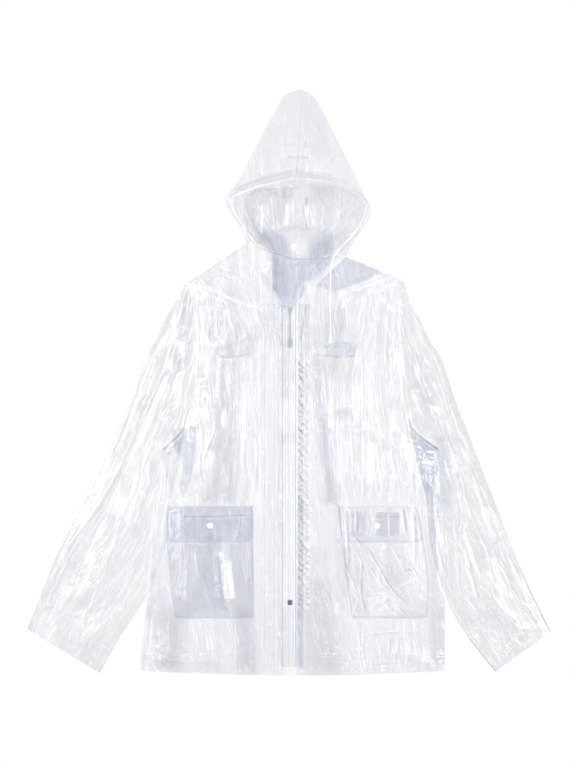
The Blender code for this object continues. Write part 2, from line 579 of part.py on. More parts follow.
def make_pull_tab(dark):
    """A tab that hangs on a pin under the slider's arch and lies down the chain."""
    low, high = PIN_Z - PIN_RADIUS, PIN_Z - PIN_RADIUS + TAB_THICK
    half = [(TAB_ARM_X, TAB_FORK), (TAB_BAR_HALF, TAB_BAR_START), (TAB_BAR_HALF, TAB_GRIP),
            (TAB_GRIP_HALF, TAB_GRIP + 4), (TAB_GRIP_HALF, TAB_REACH - 3), (TAB_GRIP_HALF - 2, TAB_REACH)]
    outline = [(ZIP_X - x, PIN_Y - down) for x, down in half] + [(ZIP_X + x, PIN_Y - down) for x, down in half[::-1]]
    tab = prism("zip_pull_tab", outline, low, high, dark)
    arms = [box(f"tab_arm_{k}", (ZIP_X + x, PIN_Y - TAB_FORK - 1.5, low),
                (ZIP_X + x + TAB_ARM_WIDE, PIN_Y + 0.8, high), dark)
            for k, x in enumerate((-TAB_ARM_X + 0.01, TAB_ARM_X - TAB_ARM_WIDE - 0.01))]
    pin = box("tab_pin", (ZIP_X - TAB_ARM_X + 0.3, PIN_Y - PIN_RADIUS, low + 0.02),
              (ZIP_X + TAB_ARM_X - 0.3, PIN_Y + PIN_RADIUS, low + 2 * PIN_RADIUS), dark)
    fuse(tab, [*arms, pin])


def make_plackets(clear):
    """The strips beside the zip; the left one is gathered along its stitching."""
    ys = np.linspace(*PLACKET_ENDS, 2 * PUCKERS + 1)
    left = np.stack([np.stack([np.linspace(*PLACKET_L, 3), np.full(3, y)], -1) for y in ys])
    waves = np.arange(len(ys)) % 2
    uneven = 0.55 + 0.45 * np.sin(np.arange(len(ys)) * 1.7)
    fade = smooth((ys + 470) / 80) * smooth((80 - ys) / 60) * 0.85 + 0.15
    low = np.full(left.shape[:2], PLACKET_Z)
    high = low + WALL
    high[:, 1] += PUCKER_HIGH * waves * np.abs(uneven) * fade
    high[:, 2] += 0.5 * PUCKER_HIGH * (1 - waves) * fade
    sheet("placket_left", left, low, high, clear)
    prism("placket_right", PLACKET_R, PLACKET_Z, PLACKET_Z + WALL, clear)


def turned(name, start, way, across, stops, sides, look):
    """A round piece along one direction, from (distance, radius) stops."""
    start, way, across = (np.array(v, float) for v in (start, way, across))
    up = np.cross(way, across)
    angles = 2 * math.pi * np.arange(sides) / sides
    ring = np.outer(np.cos(angles), across) + np.outer(np.sin(angles), up)
    vertices = np.vstack([start + way * distance + radius * ring for distance, radius in stops])
    faces = [tuple(range(sides)), tuple(range(len(vertices) - 1, len(vertices) - sides - 1, -1))]
    for row in range(len(stops) - 1):
        for k in range(sides):
            a, b = row * sides + k, row * sides + (k + 1) % sides
            faces.append((a, b, b + sides, a + sides))
    mesh_object(name, vertices, faces, look)


def snap_cap(name, x, y, z, radius, look):
    """A rim with a small domed middle."""
    stops = ((0, radius), (0.5, radius), (SNAP_HIGH * 0.75, radius * 0.82), (SNAP_HIGH, radius * 0.4))
    turned(name, (x, y, z), (0, 0, 1), (1, 0, 0), stops, 12, look)


def surfaces(names):
    """Search trees of the named pieces, in millimetres."""
    trees = []
    for name in names:
        mesh = bpy.data.objects[name].data
        points = [v.co / MM for v in mesh.vertices]
        trees.append(BVHTree.FromPolygons(points, [tuple(p.vertices) for p in mesh.polygons]))
    return trees


def top_at(trees, x, y, radius):
    """The highest place of these pieces under a round patch."""
    best = 0.0
    spots = [(x, y)] + [(x + r * math.cos(a), y + r * math.sin(a))
                        for r in (radius * 0.5, radius) for a in np.arange(8) * math.pi / 4]
    for px, py in spots:
        for tree in trees:
            hit = tree.ray_cast((px, py, 100), (0, 0, -1))
            if hit[0] is not None:
                best = max(best, hit[0].z)
    return best


def make_snaps(white):
    seats = {"snap_flap_right": ["pocket_flap_right"], "snap_flap_left": ["pocket_flap_left"],
             "snap_neck_upper": ["neck_band_right", "front_right"],
             "snap_neck_lower": ["placket_right", "front_right"],
             "snap_back_neck": ["hood_right", "hood_left"], "snap_hood": ["hood_right", "hood_left"]}
    for name, x, y, radius in SNAPS:
        z = top_at(surfaces(seats[name]), x, y, radius)
        snap_cap(name, x, y, z + SEAM, radius, white)


def cord(name, route, radius, look):
    """A round cord along a smooth route of (x, y, z) points."""
    total = np.linalg.norm(np.diff(np.array(route, float), axis=0), axis=1).sum()
    points = along(route, np.linspace(0, 1, int(total / (5 * radius)) + 2))
    curve = bpy.data.curves.new(name, "CURVE")
    curve.dimensions = "3D"
    curve.bevel_depth = radius * MM
    curve.bevel_resolution = 2
    curve.use_fill_caps = True
    line = curve.splines.new("POLY")
    line.points.add(len(points) - 1)
    for point, (x, y, z) in zip(line.points, points):
        point.co = (x * MM, y * MM, z * MM, 1)
    curve.materials.append(look)
    placed = bpy.data.objects.new(name, curve)
    bpy.context.collection.objects.link(placed)
    return points


def cone_tip(name, start, way, look):
    """The moulded end of a drawstring: a cone that widens to its foot."""
    stops = ((0, TIP_NOSE), (TIP_LONG * 0.75, TIP_BASE), (TIP_LONG, TIP_BASE * 0.8))
    turned(name, start, way, (-way[1], way[0], 0), stops, 10, look)


def make_drawstrings(white):
    """Both free cords with their tips."""
    for side, route in (("right", CORD_R), ("left", CORD_L)):
        names = [f"front_{side}", f"neck_band_{side}", f"hood_{side}"]
        trees = surfaces(names + ["placket_right"] * (side == "right"))
        places = along(route, np.linspace(0, 1, 13))
        levels = [top_at(trees, x, y, 2 * CORD_RADIUS) for x, y in places]
        points = [(x, y, max(levels[max(0, k - 1):k + 2]) + SEAM + CORD_RADIUS)
                  for k, (x, y) in enumerate(places)]
        line = cord(f"drawstring_{side}", points, CORD_RADIUS, white)
        way = line[-1] - line[-3]
        way[2] = 0
        way /= np.linalg.norm(way)
        reach = line[-1] + way * TIP_LONG / 2
        seat = top_at(trees, reach[0], reach[1], TIP_LONG / 2 + 2) + SEAM + TIP_BASE
        start = line[-1] + way * SEAM
        cone_tip(f"drawstring_tip_{side}", (start[0], start[1], max(seat, start[2])), way, white)


def make_hanger_loop(clear):
    shares = np.linspace(0, 1, 7)
    top = np.stack([LOOP_X[0] + (LOOP_X[1] - LOOP_X[0]) * shares, LOOP_Y + LOOP_RISE * np.sin(math.pi * shares)], -1)
    xy = np.stack([top - np.array([0, LOOP_WIDE]), top], axis=1)
    trees = surfaces(["hood_right", "hood_left"])
    low = np.array([[top_at(trees, x, y, 7) + SEAM for x, y in row] for row in xy])
    sheet("hanger_loop", xy, low, low + WALL, clear)


def main():
    for old in list(bpy.data.objects):
        bpy.data.objects.remove(old, do_unlink=True)
    clear = film("clear_film")
    doubled = film("clear_film_double", 0.92)
    tape = material("zip_tape", (0.80, 0.83, 0.90), 0.4, alpha=0.7)
    metal = material("zip_metal", (0.55, 0.56, 0.58), 0.3, 0.9)
    dark = material("zip_dark", (0.12, 0.12, 0.13), 0.35, 0.6)
    white = material("white_plastic", (0.93, 0.94, 0.95), 0.35)
    make_body(clear)
    make_sleeve("right", OUTER_R, INNER_R, SLEEVE_FOLDS_R, clear)
    make_sleeve("left", OUTER_L, INNER_L, SLEEVE_FOLDS_L, clear)
    make_hood_half("right", HOOD_FOLD_R, FACE_R, -1, clear)
    make_hood_half("left", HOOD_FOLD_L, FACE_L, 1, clear)
    make_neck_band("right", BAND_EDGE_R, doubled)
    make_neck_band("left", BAND_EDGE_L, doubled)
    make_pockets(doubled)
    make_zip(tape, metal, dark)
    make_plackets(doubled)
    make_hanger_loop(doubled)
    make_snaps(white)
    make_drawstrings(white)


main()
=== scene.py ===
"""A clear rain jacket laid flat: the looks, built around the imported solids.

Lengths are in millimetres until a mesh is made. Places that were read off the photograph are in its
pixels, as (across, down), and px() turns them into millimetres on the jacket.
"""

import math

import bpy
import numpy as np
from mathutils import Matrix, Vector
from mathutils.bvhtree import BVHTree


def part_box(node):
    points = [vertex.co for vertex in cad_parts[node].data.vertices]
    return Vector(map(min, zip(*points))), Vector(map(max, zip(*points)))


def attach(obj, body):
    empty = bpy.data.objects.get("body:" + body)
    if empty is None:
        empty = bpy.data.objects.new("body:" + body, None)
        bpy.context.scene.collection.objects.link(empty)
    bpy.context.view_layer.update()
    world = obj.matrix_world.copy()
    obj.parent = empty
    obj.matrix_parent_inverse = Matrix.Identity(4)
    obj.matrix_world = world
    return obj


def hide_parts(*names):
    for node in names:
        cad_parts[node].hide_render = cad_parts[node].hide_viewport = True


MM = 0.001
PHOTO_SCALE, PHOTO_MIDDLE = 1.9, (289.2, 381.75)  # mm in a pixel, and the pixel at the frame's origin
PHOTO_SIZE = (576, 768)

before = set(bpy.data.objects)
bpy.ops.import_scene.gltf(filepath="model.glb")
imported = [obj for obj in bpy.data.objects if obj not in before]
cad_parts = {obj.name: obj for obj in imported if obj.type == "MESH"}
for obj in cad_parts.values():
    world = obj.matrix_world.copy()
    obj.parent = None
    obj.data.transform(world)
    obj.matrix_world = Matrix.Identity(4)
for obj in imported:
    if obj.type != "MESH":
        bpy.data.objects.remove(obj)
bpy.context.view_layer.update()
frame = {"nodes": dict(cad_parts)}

# ---------------------------------------------------------------- shapes shared with the solids
WALL, SEAM, EDGE_OFF, LOFT, SIDE_ROUND = 1.0, 0.3, 0.4, 2.7, 16.0
MIDWALL, LAYER = 0.5, 1.3  # to the middle of a wall, and from one layer to the next
UNDERARM_Y, CAPE_SHARE = -130.0, 0.54
UNDERARMS = ((-225, -110), (262, -112))
SIDE_R = ((-549, -284), (-399, -268), (-301, -260), (-234, -249), (-149, -238), (-130, -236))
SIDE_L = ((-549, 296), (-405, 295), (-320, 292), (-234, 288), (-173, 284), (-130, 279))
ARMHOLE_R = ((-130, -236), (-92, -198), (-44, -183), (7, -176), (60, -172), (117, -173), (191, -187))
ARMHOLE_L = ((-130, 279), (-92, 232), (-42, 217), (7, 214), (64, 214), (146, 211), (193, 209))
POCKET_SIDE_R = ((-553, -205), (-449, -217), (-373, -226), (-236, -231), (-130, -190), (216, -150))
POCKET_SIDE_L = ((-551, 262), (-449, 262), (-373, 265), (-300, 254), (-236, 241), (-130, 205), (211, 172))
POCKET_INNER_R = ((-557, -64), (-449, -66), (-236, -69), (-130, -74), (262, -80))
POCKET_INNER_L = ((-557, 118), (-449, 118), (-373, 108), (-236, 93), (-130, 92), (237, 107))
FRONT_EDGE_R = ((-558, -10), (155, -12))
FRONT_EDGE_L = ((-558, 13), (150, 17))
BACK_MID = ((-558, 9), (231, 9))
TUCK_DEEP, TUCK_FADE, TUCK_LIFT, CAPE_LIFT = 62.0, 48.0, 2.9, 1.3
OUTER_R = ((-187, 191), (-213, 155), (-236, 117), (-253, 79), (-274, 41), (-301, -35), (-331, -111),
           (-367, -187), (-407, -263), (-445, -339), (-475, -415), (-497, -470))
OUTER_L = ((209, 193), (228, 155), (249, 117), (266, 79), (290, 41), (315, -35), (345, -111),
           (374, -187), (404, -263), (433, -339), (467, -415), (497, -474))
INNER_R = ((-236, -130), (-238, -160), (-226, -215), (-230, -290), (-247, -350), (-267, -400),
           (-301, -453), (-325, -491), (-360, -553))
INNER_L = ((279, -130), (280, -162), (266, -218), (264, -290), (279, -352), (297, -406),
           (319, -453), (344, -491), (391, -551))
PRESSED, SLEEVE_LOFT = 2.4, 2.6
HOOD_FOLD_R = ((-80.5, 262.6), (-97, 302), (-112, 320), (-119, 347), (-97, 381), (-78, 418), (-55, 461),
               (-31, 507), (-14, 537), (-4, 547), (11, 552), (23.4, 555))
HOOD_FOLD_L = ((107.4, 237.8), (120, 262), (136, 286), (151, 309), (155, 330), (140, 359), (123, 395),
               (102, 437), (81, 478), (62, 516), (45, 543), (24.6, 555))
FACE_R = ((-62, 262), (-80, 284), (-95, 306), (-105, 328), (-107, 350), (-69, 366), (-25, 378), (10, 386))
FACE_L = ((86, 246), (106, 264), (131, 294), (143, 317), (146, 338), (123, 364), (87, 378), (12, 386))
HOOD_SEAM_TOP = ((11, 386), (14, 403), (20, 503), (24, 540))
HOOD_SEAM_BACK = ((9, 231.6), (9, 307), (13, 383), (20, 503), (24, 540))
BRIM_SHARE = 11 / 18
HOOD_EDGE, HOOD_LOFT = 2.8, 6.2
BAND_EDGE_R = ((-58, 258), (-40, 244), (-35, 214), (-34, 186), (-11.6, 157.6))
BAND_EDGE_L = ((84, 241), (51, 224), (34, 203), (26, 180), (17, 153))
BAND_Z = 4.0
SHOULDERS = {"right": ((-187, 191), (-80, 262)), "left": ((209, 193), (107, 237))}
POCKET_TOP, POCKET_FOOT, FLAP_FOOT = -236.0, -449.0, -304.0
ZIP_X, ZIP_TOP, ZIP_FOOT = 1.5, 133.0, -414.0
TAPE_WIDE, TAPE_Z, TAPE_ENDS = 23.0, 2.65, (150.0, -541.0)
CHAIN_Z, PLACKET_Z, PLACKET_ENDS = 3.95, 5.3, (-545.0, 148.0)
PLACKET_L, PLACKET_R = (14.5, 38.5), (-47.0, -11.8)

# Soft folds of the solids, as (x0, y0, x1, y1, height, half width) in mm
FRONT_FOLDS = {"right": (
    (-175, 172, -75, 128, 3.0, 24), (-150, 100, -148, -70, 5.0, 19),
    (-160, -70, -178, -190, 5.0, 17), (-100, 60, -104, -215, 4.0, 20), (-62, 90, -68, -215, 2.5, 16),
    (-225, -470, -228, -540, 3.0, 16), (-130, -480, -150, -540, 2.5, 18)), "left": (
    (190, 172, 95, 150, 3.0, 24), (60, 60, 68, -215, 3.5, 19), (196, 140, 206, 40, 3.5, 17),
    (205, 20, 222, -200, 5.5, 17), (140, 110, 138, -225, 4.0, 16), (100, -20, 112, -215, 2.5, 16),
    (240, -110, 262, -215, 3.5, 15), (70, -460, 75, -540, 2.5, 16), (200, -500, 270, -540, 2.5, 15))}
SLEEVE_FOLDS = {"right": (
    (-206, 160, -215, 45, 5.0, 15), (-215, 45, -222, -70, 5.0, 15), (-218, 150, -340, -180, 5.0, 12),
    (-340, -180, -452, -400, 4.5, 12), (-262, -60, -318, -330, 4.0, 18), (-300, -200, -370, -430, 4.0, 18),
    (-350, -380, -440, -420, 2.5, 14), (-330, -440, -400, -500, 2.5, 15)), "left": (
    (222, 160, 236, 45, 4.5, 14), (236, 45, 272, -70, 5.0, 14), (275, 40, 330, -130, 4.5, 12),
    (330, -130, 388, -330, 5.5, 15), (388, -330, 398, -460, 5.0, 15), (320, -240, 330, -400, 4.0, 15),
    (360, -180, 440, -400, 3.0, 16), (400, -440, 450, -480, 2.5, 14))}
HOOD_GATHERS = (
    (-50, 350, -46, 270, 3.0, 9), (-2, 352, 0, 290, 3.5, 9), (38, 352, 44, 280, 4.0, 9),
    (-70, 335, -34, 280, 3.0, 9), (90, 340, 75, 262, 3.0, 11), (120, 320, 92, 262, 2.5, 11))
POCKET_PUFF = {"right": 2.2, "left": 4.5}
POCKET_FOLDS = {"right": ((-128, -320, -112, -440, 4.0, 12), (-190, -310, -185, -430, 2.0, 14)), "left": (
    (105, -270, 130, -420, 4.0, 11), (135, -330, 190, -400, 4.5, 11), (150, -370, 225, -425, 4.5, 11),
    (205, -290, 235, -430, 4.0, 11), (175, -300, 160, -430, 3.0, 10))}


def smooth(t):
    """0 to 1 with level ends."""
    t = np.clip(t, 0.0, 1.0)
    return t * t * (3 - 2 * t)


def spline(points, count_each=10):
    """Points of a smooth curve through the given ones."""
    p = np.array(points, float)
    if len(p) < 3:
        return p
    ends = np.vstack([2 * p[0] - p[1], p, 2 * p[-1] - p[-2]])
    out = []
    for a, b, c, d in zip(ends[:-3], ends[1:-2], ends[2:-1], ends[3:]):
        for t in np.arange(count_each) / count_each:
            out.append(0.5 * (2 * b + (c - a) * t + (2 * a - 5 * b + 4 * c - d) * t**2
                              + (3 * b - a - 3 * c + d) * t**3))
    return np.array(out + [p[-1]])


def along(points, shares):
    """Points at these shares of the smooth curve's length."""
    curve = spline(points)
    steps = np.r_[0, np.cumsum(np.linalg.norm(np.diff(curve, axis=0), axis=1))]
    at = np.asarray(shares, float) * steps[-1]
    return np.stack([np.interp(at, steps, curve[:, k]) for k in range(curve.shape[1])], -1)


def x_of(guide, y):
    """Where a guide line lies at these heights on the jacket."""
    curve = spline(guide)
    return np.interp(y, curve[:, 0], curve[:, 1])


def px(points):
    """Photograph pixels as millimetres on the jacket."""
    p = np.array(points, float)
    return np.stack([(p[..., 0] - PHOTO_MIDDLE[0]), (PHOTO_MIDDLE[1] - p[..., 1])], -1) * PHOTO_SCALE


# ---------------------------------------------------------------- creases, patches, and painted highlight and shade lines
def ridges(x, y, rows):
    """Height of soft folds along straight lines that fade out at both ends."""
    total = np.zeros(np.shape(x))
    for x0, y0, x1, y1, height, half in rows:
        length = math.hypot(x1 - x0, y1 - y0)
        ux, uy = (x1 - x0) / length, (y1 - y0) / length
        run = (x - x0) * ux + (y - y0) * uy
        off = (x - x0) * uy - (y - y0) * ux
        ends = smooth(run / (0.3 * length) + 0.2) * smooth((length - run) / (0.3 * length) + 0.2)
        total = np.maximum(total, height * np.exp(-((off / half) ** 2)) * ends)
    return total


def noise(x, y, seed):
    """Smooth noise, about -1 to 1, with one lump to each unit."""
    angles = np.random.RandomState(seed).uniform(0, 2 * math.pi, (64, 64))
    xi, yi = np.floor(x).astype(int), np.floor(y).astype(int)
    fx, fy = x - xi, y - yi
    u, v = (f * f * f * (f * (f * 6 - 15) + 10) for f in (fx, fy))

    def corner(dx, dy):
        a = angles[(xi + dx) % 64, (yi + dy) % 64]
        return np.cos(a) * (fx - dx) + np.sin(a) * (fy - dy)

    low = corner(0, 0) * (1 - u) + corner(1, 0) * u
    high = corner(0, 1) * (1 - u) + corner(1, 1) * u
    return 1.5 * (low * (1 - v) + high * v)


def polyline_field(x, y, points):
    """Distance to a line through points and the length along it at the nearest place."""
    best = np.full(np.shape(x), 1e9)
    at = np.zeros(np.shape(x))
    run = 0.0
    for a, b in zip(points[:-1], points[1:]):
        step = b - a
        long = math.hypot(*step)
        t = np.clip(((x - a[0]) * step[0] + (y - a[1]) * step[1]) / long**2, 0, 1)
        d = np.hypot(x - a[0] - t * step[0], y - a[1] - t * step[1])
        near = d < best
        best = np.where(near, d, best)
        at = np.where(near, run + t * long, at)
        run += long
    return best, at, run


def creases(x, y, rows):
    """Height of creases given as (height mm, half width mm, pixel points): ridges, or troughs if negative."""
    total = np.zeros(np.shape(x))
    for k, (height, half, *points) in enumerate(rows):
        line = spline(px(points), 4)
        low, high = line.min(0) - 4 * half, line.max(0) + 4 * half
        near = (x > low[0]) & (x < high[0]) & (y > low[1]) & (y < high[1])
        if not near.any():
            continue
        d, at, long = polyline_field(x[near], y[near], line)
        fade = smooth(at / (0.22 * long)) * smooth((long - at) / (0.22 * long))
        uneven = 0.75 + 0.35 * np.sin(at / 17.0 + k * 2.3) * np.cos(at / 41.0 + k)
        width = half * (0.55 + 0.45 * fade)
        crest = np.exp(-np.sqrt((d / width) ** 2 + 0.12) * 1.7 + 0.59)
        total[near] += height * crest * fade * uneven
    return total


def painted_crease_lines(x, y, rows):
    """Painted highlight and painted shade along crisp creases given as (light, dark, half width mm, pixel
    points).

    Each is a painted highlight on a crest with painted shade on the flank to its right and below.
    """
    total = np.zeros(np.shape(x))
    for k, (light, dark, half, *points) in enumerate(rows):
        line = spline(px(points), 5)
        low, high = line.min(0) - 6 * half, line.max(0) + 6 * half
        near = (x > low[0]) & (x < high[0]) & (y > low[1]) & (y < high[1])
        if not near.any():
            continue
        d, at, long = polyline_field(x[near], y[near], line)
        beside = polyline_field(x[near] - 1.6 * half, y[near] + 0.7 * half, line)[0] if light else d
        fade = smooth(at / (0.12 * long)) * smooth((long - at) / (0.12 * long))
        uneven = 0.78 + 0.22 * np.sin(at / 7.0 + k * 1.7) * np.cos(at / 19.0 + k)
        mark = dark * np.exp(-((beside / (1.15 * half)) ** 2)) - light * np.exp(-((d / half) ** 2))
        total[near] += fade * uneven * mark
    return total


def painted_veins(x, y, angle, long, wide, seed, keep=0.0):
    """Thin painted highlight lines with painted shade flanks that wander along one direction, as a change of
    shade.
    """
    c, s = math.cos(math.radians(angle)), math.sin(math.radians(angle))
    u, v = (x * c + y * s) / long, (-x * s + y * c) / wide
    n = noise(u + 5, v + 0.5 * noise(u * 1.3 + 7, v * 0.5 + 3, seed + 1) + 11, seed)
    patchy = smooth((noise(u * 0.9 + 31, v * 0.4 + 17, seed + 2) + keep) / 0.5)
    return (0.6 * np.exp(-(((n - 0.16) / 0.10) ** 2)) - 0.7 * np.exp(-((n / 0.075) ** 2))) * patchy


def patch(x, y, points, soft):
    """1 inside an outline of pixel points and 0 outside, over a soft edge."""
    ring = px(list(points) + [points[0]])
    inside = np.zeros(np.shape(x), bool)
    for a, b in zip(ring[:-1], ring[1:]):
        cut = (a[1] > y) != (b[1] > y)
        with np.errstate(divide="ignore", invalid="ignore"):
            over = x < (b[0] - a[0]) * (y - a[1]) / (b[1] - a[1]) + a[0]
        inside ^= cut & over
    d = polyline_field(x, y, ring)[0]
    return smooth(0.5 + np.where(inside, d, -d) / (2 * soft))


def patch_sum(x, y, rows):
    """Sum of soft patches given as (strength, soft edge mm, pixel outline): cling tints, painted shade and
    highlight, and the areas of crumples and veins.
    """
    total = np.zeros(np.shape(x))
    for strength, soft, *points in rows:
        total += strength * patch(x, y, points, soft)
    return total


def streaks(x, y, angle, long, wide, seed, keep=0.15):
    """Thin uneven crests that run along one direction, 0 to 1."""
    c, s = math.cos(math.radians(angle)), math.sin(math.radians(angle))
    u, v = (x * c + y * s) / long, (-x * s + y * c) / wide
    bend = 0.35 * noise(u * 1.3 + 7, v * 0.5 + 3, seed + 1)
    n = noise(u + 5, v + bend + 11, seed)
    patchy = smooth((noise(u * 0.8 + 31, v * 0.45 + 17, seed + 2) + keep) / 0.6)
    return np.exp(-((n / 0.16) ** 2)) * patchy


def crumple(x, y, size, seed):
    """Facets of crumpled film: sharp ridges in all directions, about 0 to 1."""
    wx = x + size * 0.45 * noise(x / size, y / size, seed + 5)
    wy = y + size * 0.45 * noise(x / size + 9, y / size + 4, seed + 6)
    first = 1 - np.abs(noise(wx / size, wy / size, seed)) * 1.6
    second = 1 - np.abs(noise(wx / size * 2.1 + 3, wy / size * 1.7 + 8, seed + 1)) * 1.6
    return 0.65 * first + 0.35 * second


# ---------------------------------------------------------------- materials
def node_of(tree, kind, **values):
    """A new shader node with these inputs or settings."""
    made = tree.nodes.new(kind)
    for name, value in values.items():
        if name in made.inputs:
            made.inputs[name].default_value = value
        else:
            setattr(made, name, value)
    return made


def grain_lines(tree, place, angle, long, wide, thin, seed):
    """Thin wandering lines along one direction, 0 to 1, and the soft noise they come from."""
    link = tree.links.new
    turn = node_of(tree, "ShaderNodeMapping", vector_type="TEXTURE")
    turn.inputs["Location"].default_value = (seed * 0.37, seed * 0.21, 0)
    turn.inputs["Rotation"].default_value = (0, 0, math.radians(angle))
    turn.inputs["Scale"].default_value = (long * MM, wide * MM, 1)
    link(place.outputs["Object"], turn.inputs["Vector"])
    soft = node_of(tree, "ShaderNodeTexNoise", Scale=1.0, Detail=2.0, Roughness=0.5, Distortion=0.5)
    link(turn.outputs[0], soft.inputs["Vector"])
    off = node_of(tree, "ShaderNodeMath", operation="SUBTRACT")
    link(soft.outputs["Fac"], off.inputs[0])
    off.inputs[1].default_value = 0.5
    size = node_of(tree, "ShaderNodeMath", operation="ABSOLUTE")
    link(off.outputs[0], size.inputs[0])
    line = node_of(tree, "ShaderNodeMapRange", interpolation_type="SMOOTHSTEP")
    line.inputs["From Min"].default_value = thin
    line.inputs["From Max"].default_value = 0.0
    link(size.outputs[0], line.inputs["Value"])
    return line.outputs["Result"], soft.outputs["Fac"]


def film_material(name, clear, cling, angle=90.0, fine=1.0, share=0.10):
    """Clear film: it tints what is behind it, mirrors the lights, and has a fine grain of crinkles, raised as
    a bump and painted into the tint as highlight and shade lines; its shade attribute is painted shade, and
    painted highlight where negative.
    """
    mat = bpy.data.materials.new(name)
    mat.use_nodes = True
    tree = mat.node_tree
    tree.nodes.clear()
    link = tree.links.new

    def scaled(value, factor, add=0.0, clamp=False):
        made = node_of(tree, "ShaderNodeMath", operation="MULTIPLY_ADD", use_clamp=clamp)
        link(value, made.inputs[0])
        made.inputs[1].default_value = factor
        if isinstance(add, float):
            made.inputs[2].default_value = add
        else:
            link(add, made.inputs[2])
        return made.outputs[0]

    out = node_of(tree, "ShaderNodeOutputMaterial")
    dark = node_of(tree, "ShaderNodeAttribute", attribute_name="cling")
    milk = node_of(tree, "ShaderNodeAttribute", attribute_name="milk")
    grey = node_of(tree, "ShaderNodeAttribute", attribute_name="shade")
    place = node_of(tree, "ShaderNodeTexCoord")
    shade_line, long_grain = grain_lines(tree, place, angle, 140, 15, 0.020, 1)
    highlight_line, short_grain = grain_lines(tree, place, angle + 9, 80, 11, 0.022, 5)
    cross_highlight_line, cross_grain = grain_lines(tree, place, angle + 74, 60, 16, 0.018, 9)
    # random tone, painted highlight lines (a lighter tint and a little more gloss), painted shade lines and
    # the painted shade attribute
    tone_and_shade = scaled(long_grain, 0.34 * fine, -0.27 * fine)
    tone_and_shade = scaled(cross_grain, 0.26 * fine, tone_and_shade)
    tone_and_shade = scaled(highlight_line, -0.28 * fine, tone_and_shade)
    tone_and_shade = scaled(cross_highlight_line, -0.20 * fine, tone_and_shade)
    tone_and_shade = scaled(shade_line, 0.22 * fine, tone_and_shade)
    tone_and_shade = scaled(grey.outputs["Fac"], 1.0, tone_and_shade)
    blue = node_of(tree, "ShaderNodeMix", data_type="RGBA")
    blue.inputs[6].default_value = (*clear, 1)
    blue.inputs[7].default_value = (*cling, 1)
    link(dark.outputs["Fac"], blue.inputs[0])
    # painted shade darkens the tint toward this grey, and negative values lighten it as painted highlight
    tint = node_of(tree, "ShaderNodeMix", data_type="RGBA", blend_type="MULTIPLY", clamp_factor=False)
    link(tone_and_shade, tint.inputs[0])
    link(blue.outputs[2], tint.inputs[6])
    tint.inputs[7].default_value = (0.84, 0.838, 0.86, 1)
    through = node_of(tree, "ShaderNodeBsdfTransparent")
    link(tint.outputs[2], through.inputs["Color"])
    relief = scaled(highlight_line, 0.6, short_grain)
    relief = scaled(cross_highlight_line, 0.35, relief)
    relief = scaled(shade_line, -0.5, relief)
    bump = node_of(tree, "ShaderNodeBump", Strength=0.55 * fine, Distance=0.0012)
    link(relief, bump.inputs["Height"])
    gloss = node_of(tree, "ShaderNodeBsdfPrincipled", Roughness=0.14, Metallic=0.5, IOR=1.5)
    gloss.inputs["Base Color"].default_value = (0.93, 0.935, 0.95, 1)
    link(bump.outputs["Normal"], gloss.inputs["Normal"])
    facing = node_of(tree, "ShaderNodeLayerWeight", Blend=0.5)
    link(bump.outputs["Normal"], facing.inputs["Normal"])
    steep = node_of(tree, "ShaderNodeMath", operation="POWER")
    link(facing.outputs["Facing"], steep.inputs[0])
    steep.inputs[1].default_value = 3.0
    total = scaled(steep.outputs[0], 0.55, share)
    total = scaled(highlight_line, 0.07 * fine, total)
    total = scaled(milk.outputs["Fac"], 1.0, total, clamp=True)
    mix = node_of(tree, "ShaderNodeMixShader")
    link(total, mix.inputs[0])
    link(through.outputs[0], mix.inputs[1])
    link(gloss.outputs[0], mix.inputs[2])
    link(mix.outputs[0], out.inputs["Surface"])
    return mat


def solid_material(name, colour, roughness, metallic=0.0, grain=40.0, bump=0.05, coat=0.0):
    """A hard piece's finish with a faint grain in its colour, roughness and surface."""
    mat = bpy.data.materials.new(name)
    mat.use_nodes = True
    tree = mat.node_tree
    shader = tree.nodes["Principled BSDF"]
    link = tree.links.new
    place = node_of(tree, "ShaderNodeTexCoord")
    speck = node_of(tree, "ShaderNodeTexNoise", Scale=grain * 25, Detail=4.0)
    link(place.outputs["Object"], speck.inputs["Vector"])
    shade = node_of(tree, "ShaderNodeMix", data_type="RGBA")
    shade.inputs[6].default_value = (*[c * 0.9 for c in colour], 1)
    shade.inputs[7].default_value = (*[min(1, c * 1.08) for c in colour], 1)
    link(speck.outputs["Fac"], shade.inputs[0])
    link(shade.outputs[2], shader.inputs["Base Color"])
    rough = node_of(tree, "ShaderNodeMapRange")
    rough.inputs["To Min"].default_value = roughness * 0.8
    rough.inputs["To Max"].default_value = min(1, roughness * 1.25)
    link(speck.outputs["Fac"], rough.inputs["Value"])
    link(rough.outputs["Result"], shader.inputs["Roughness"])
    raised = node_of(tree, "ShaderNodeBump", Strength=bump, Distance=0.0005)
    link(speck.outputs["Fac"], raised.inputs["Height"])
    link(raised.outputs["Normal"], shader.inputs["Normal"])
    shader.inputs["Metallic"].default_value = metallic
    shader.inputs["Coat Weight"].default_value = coat
    return mat


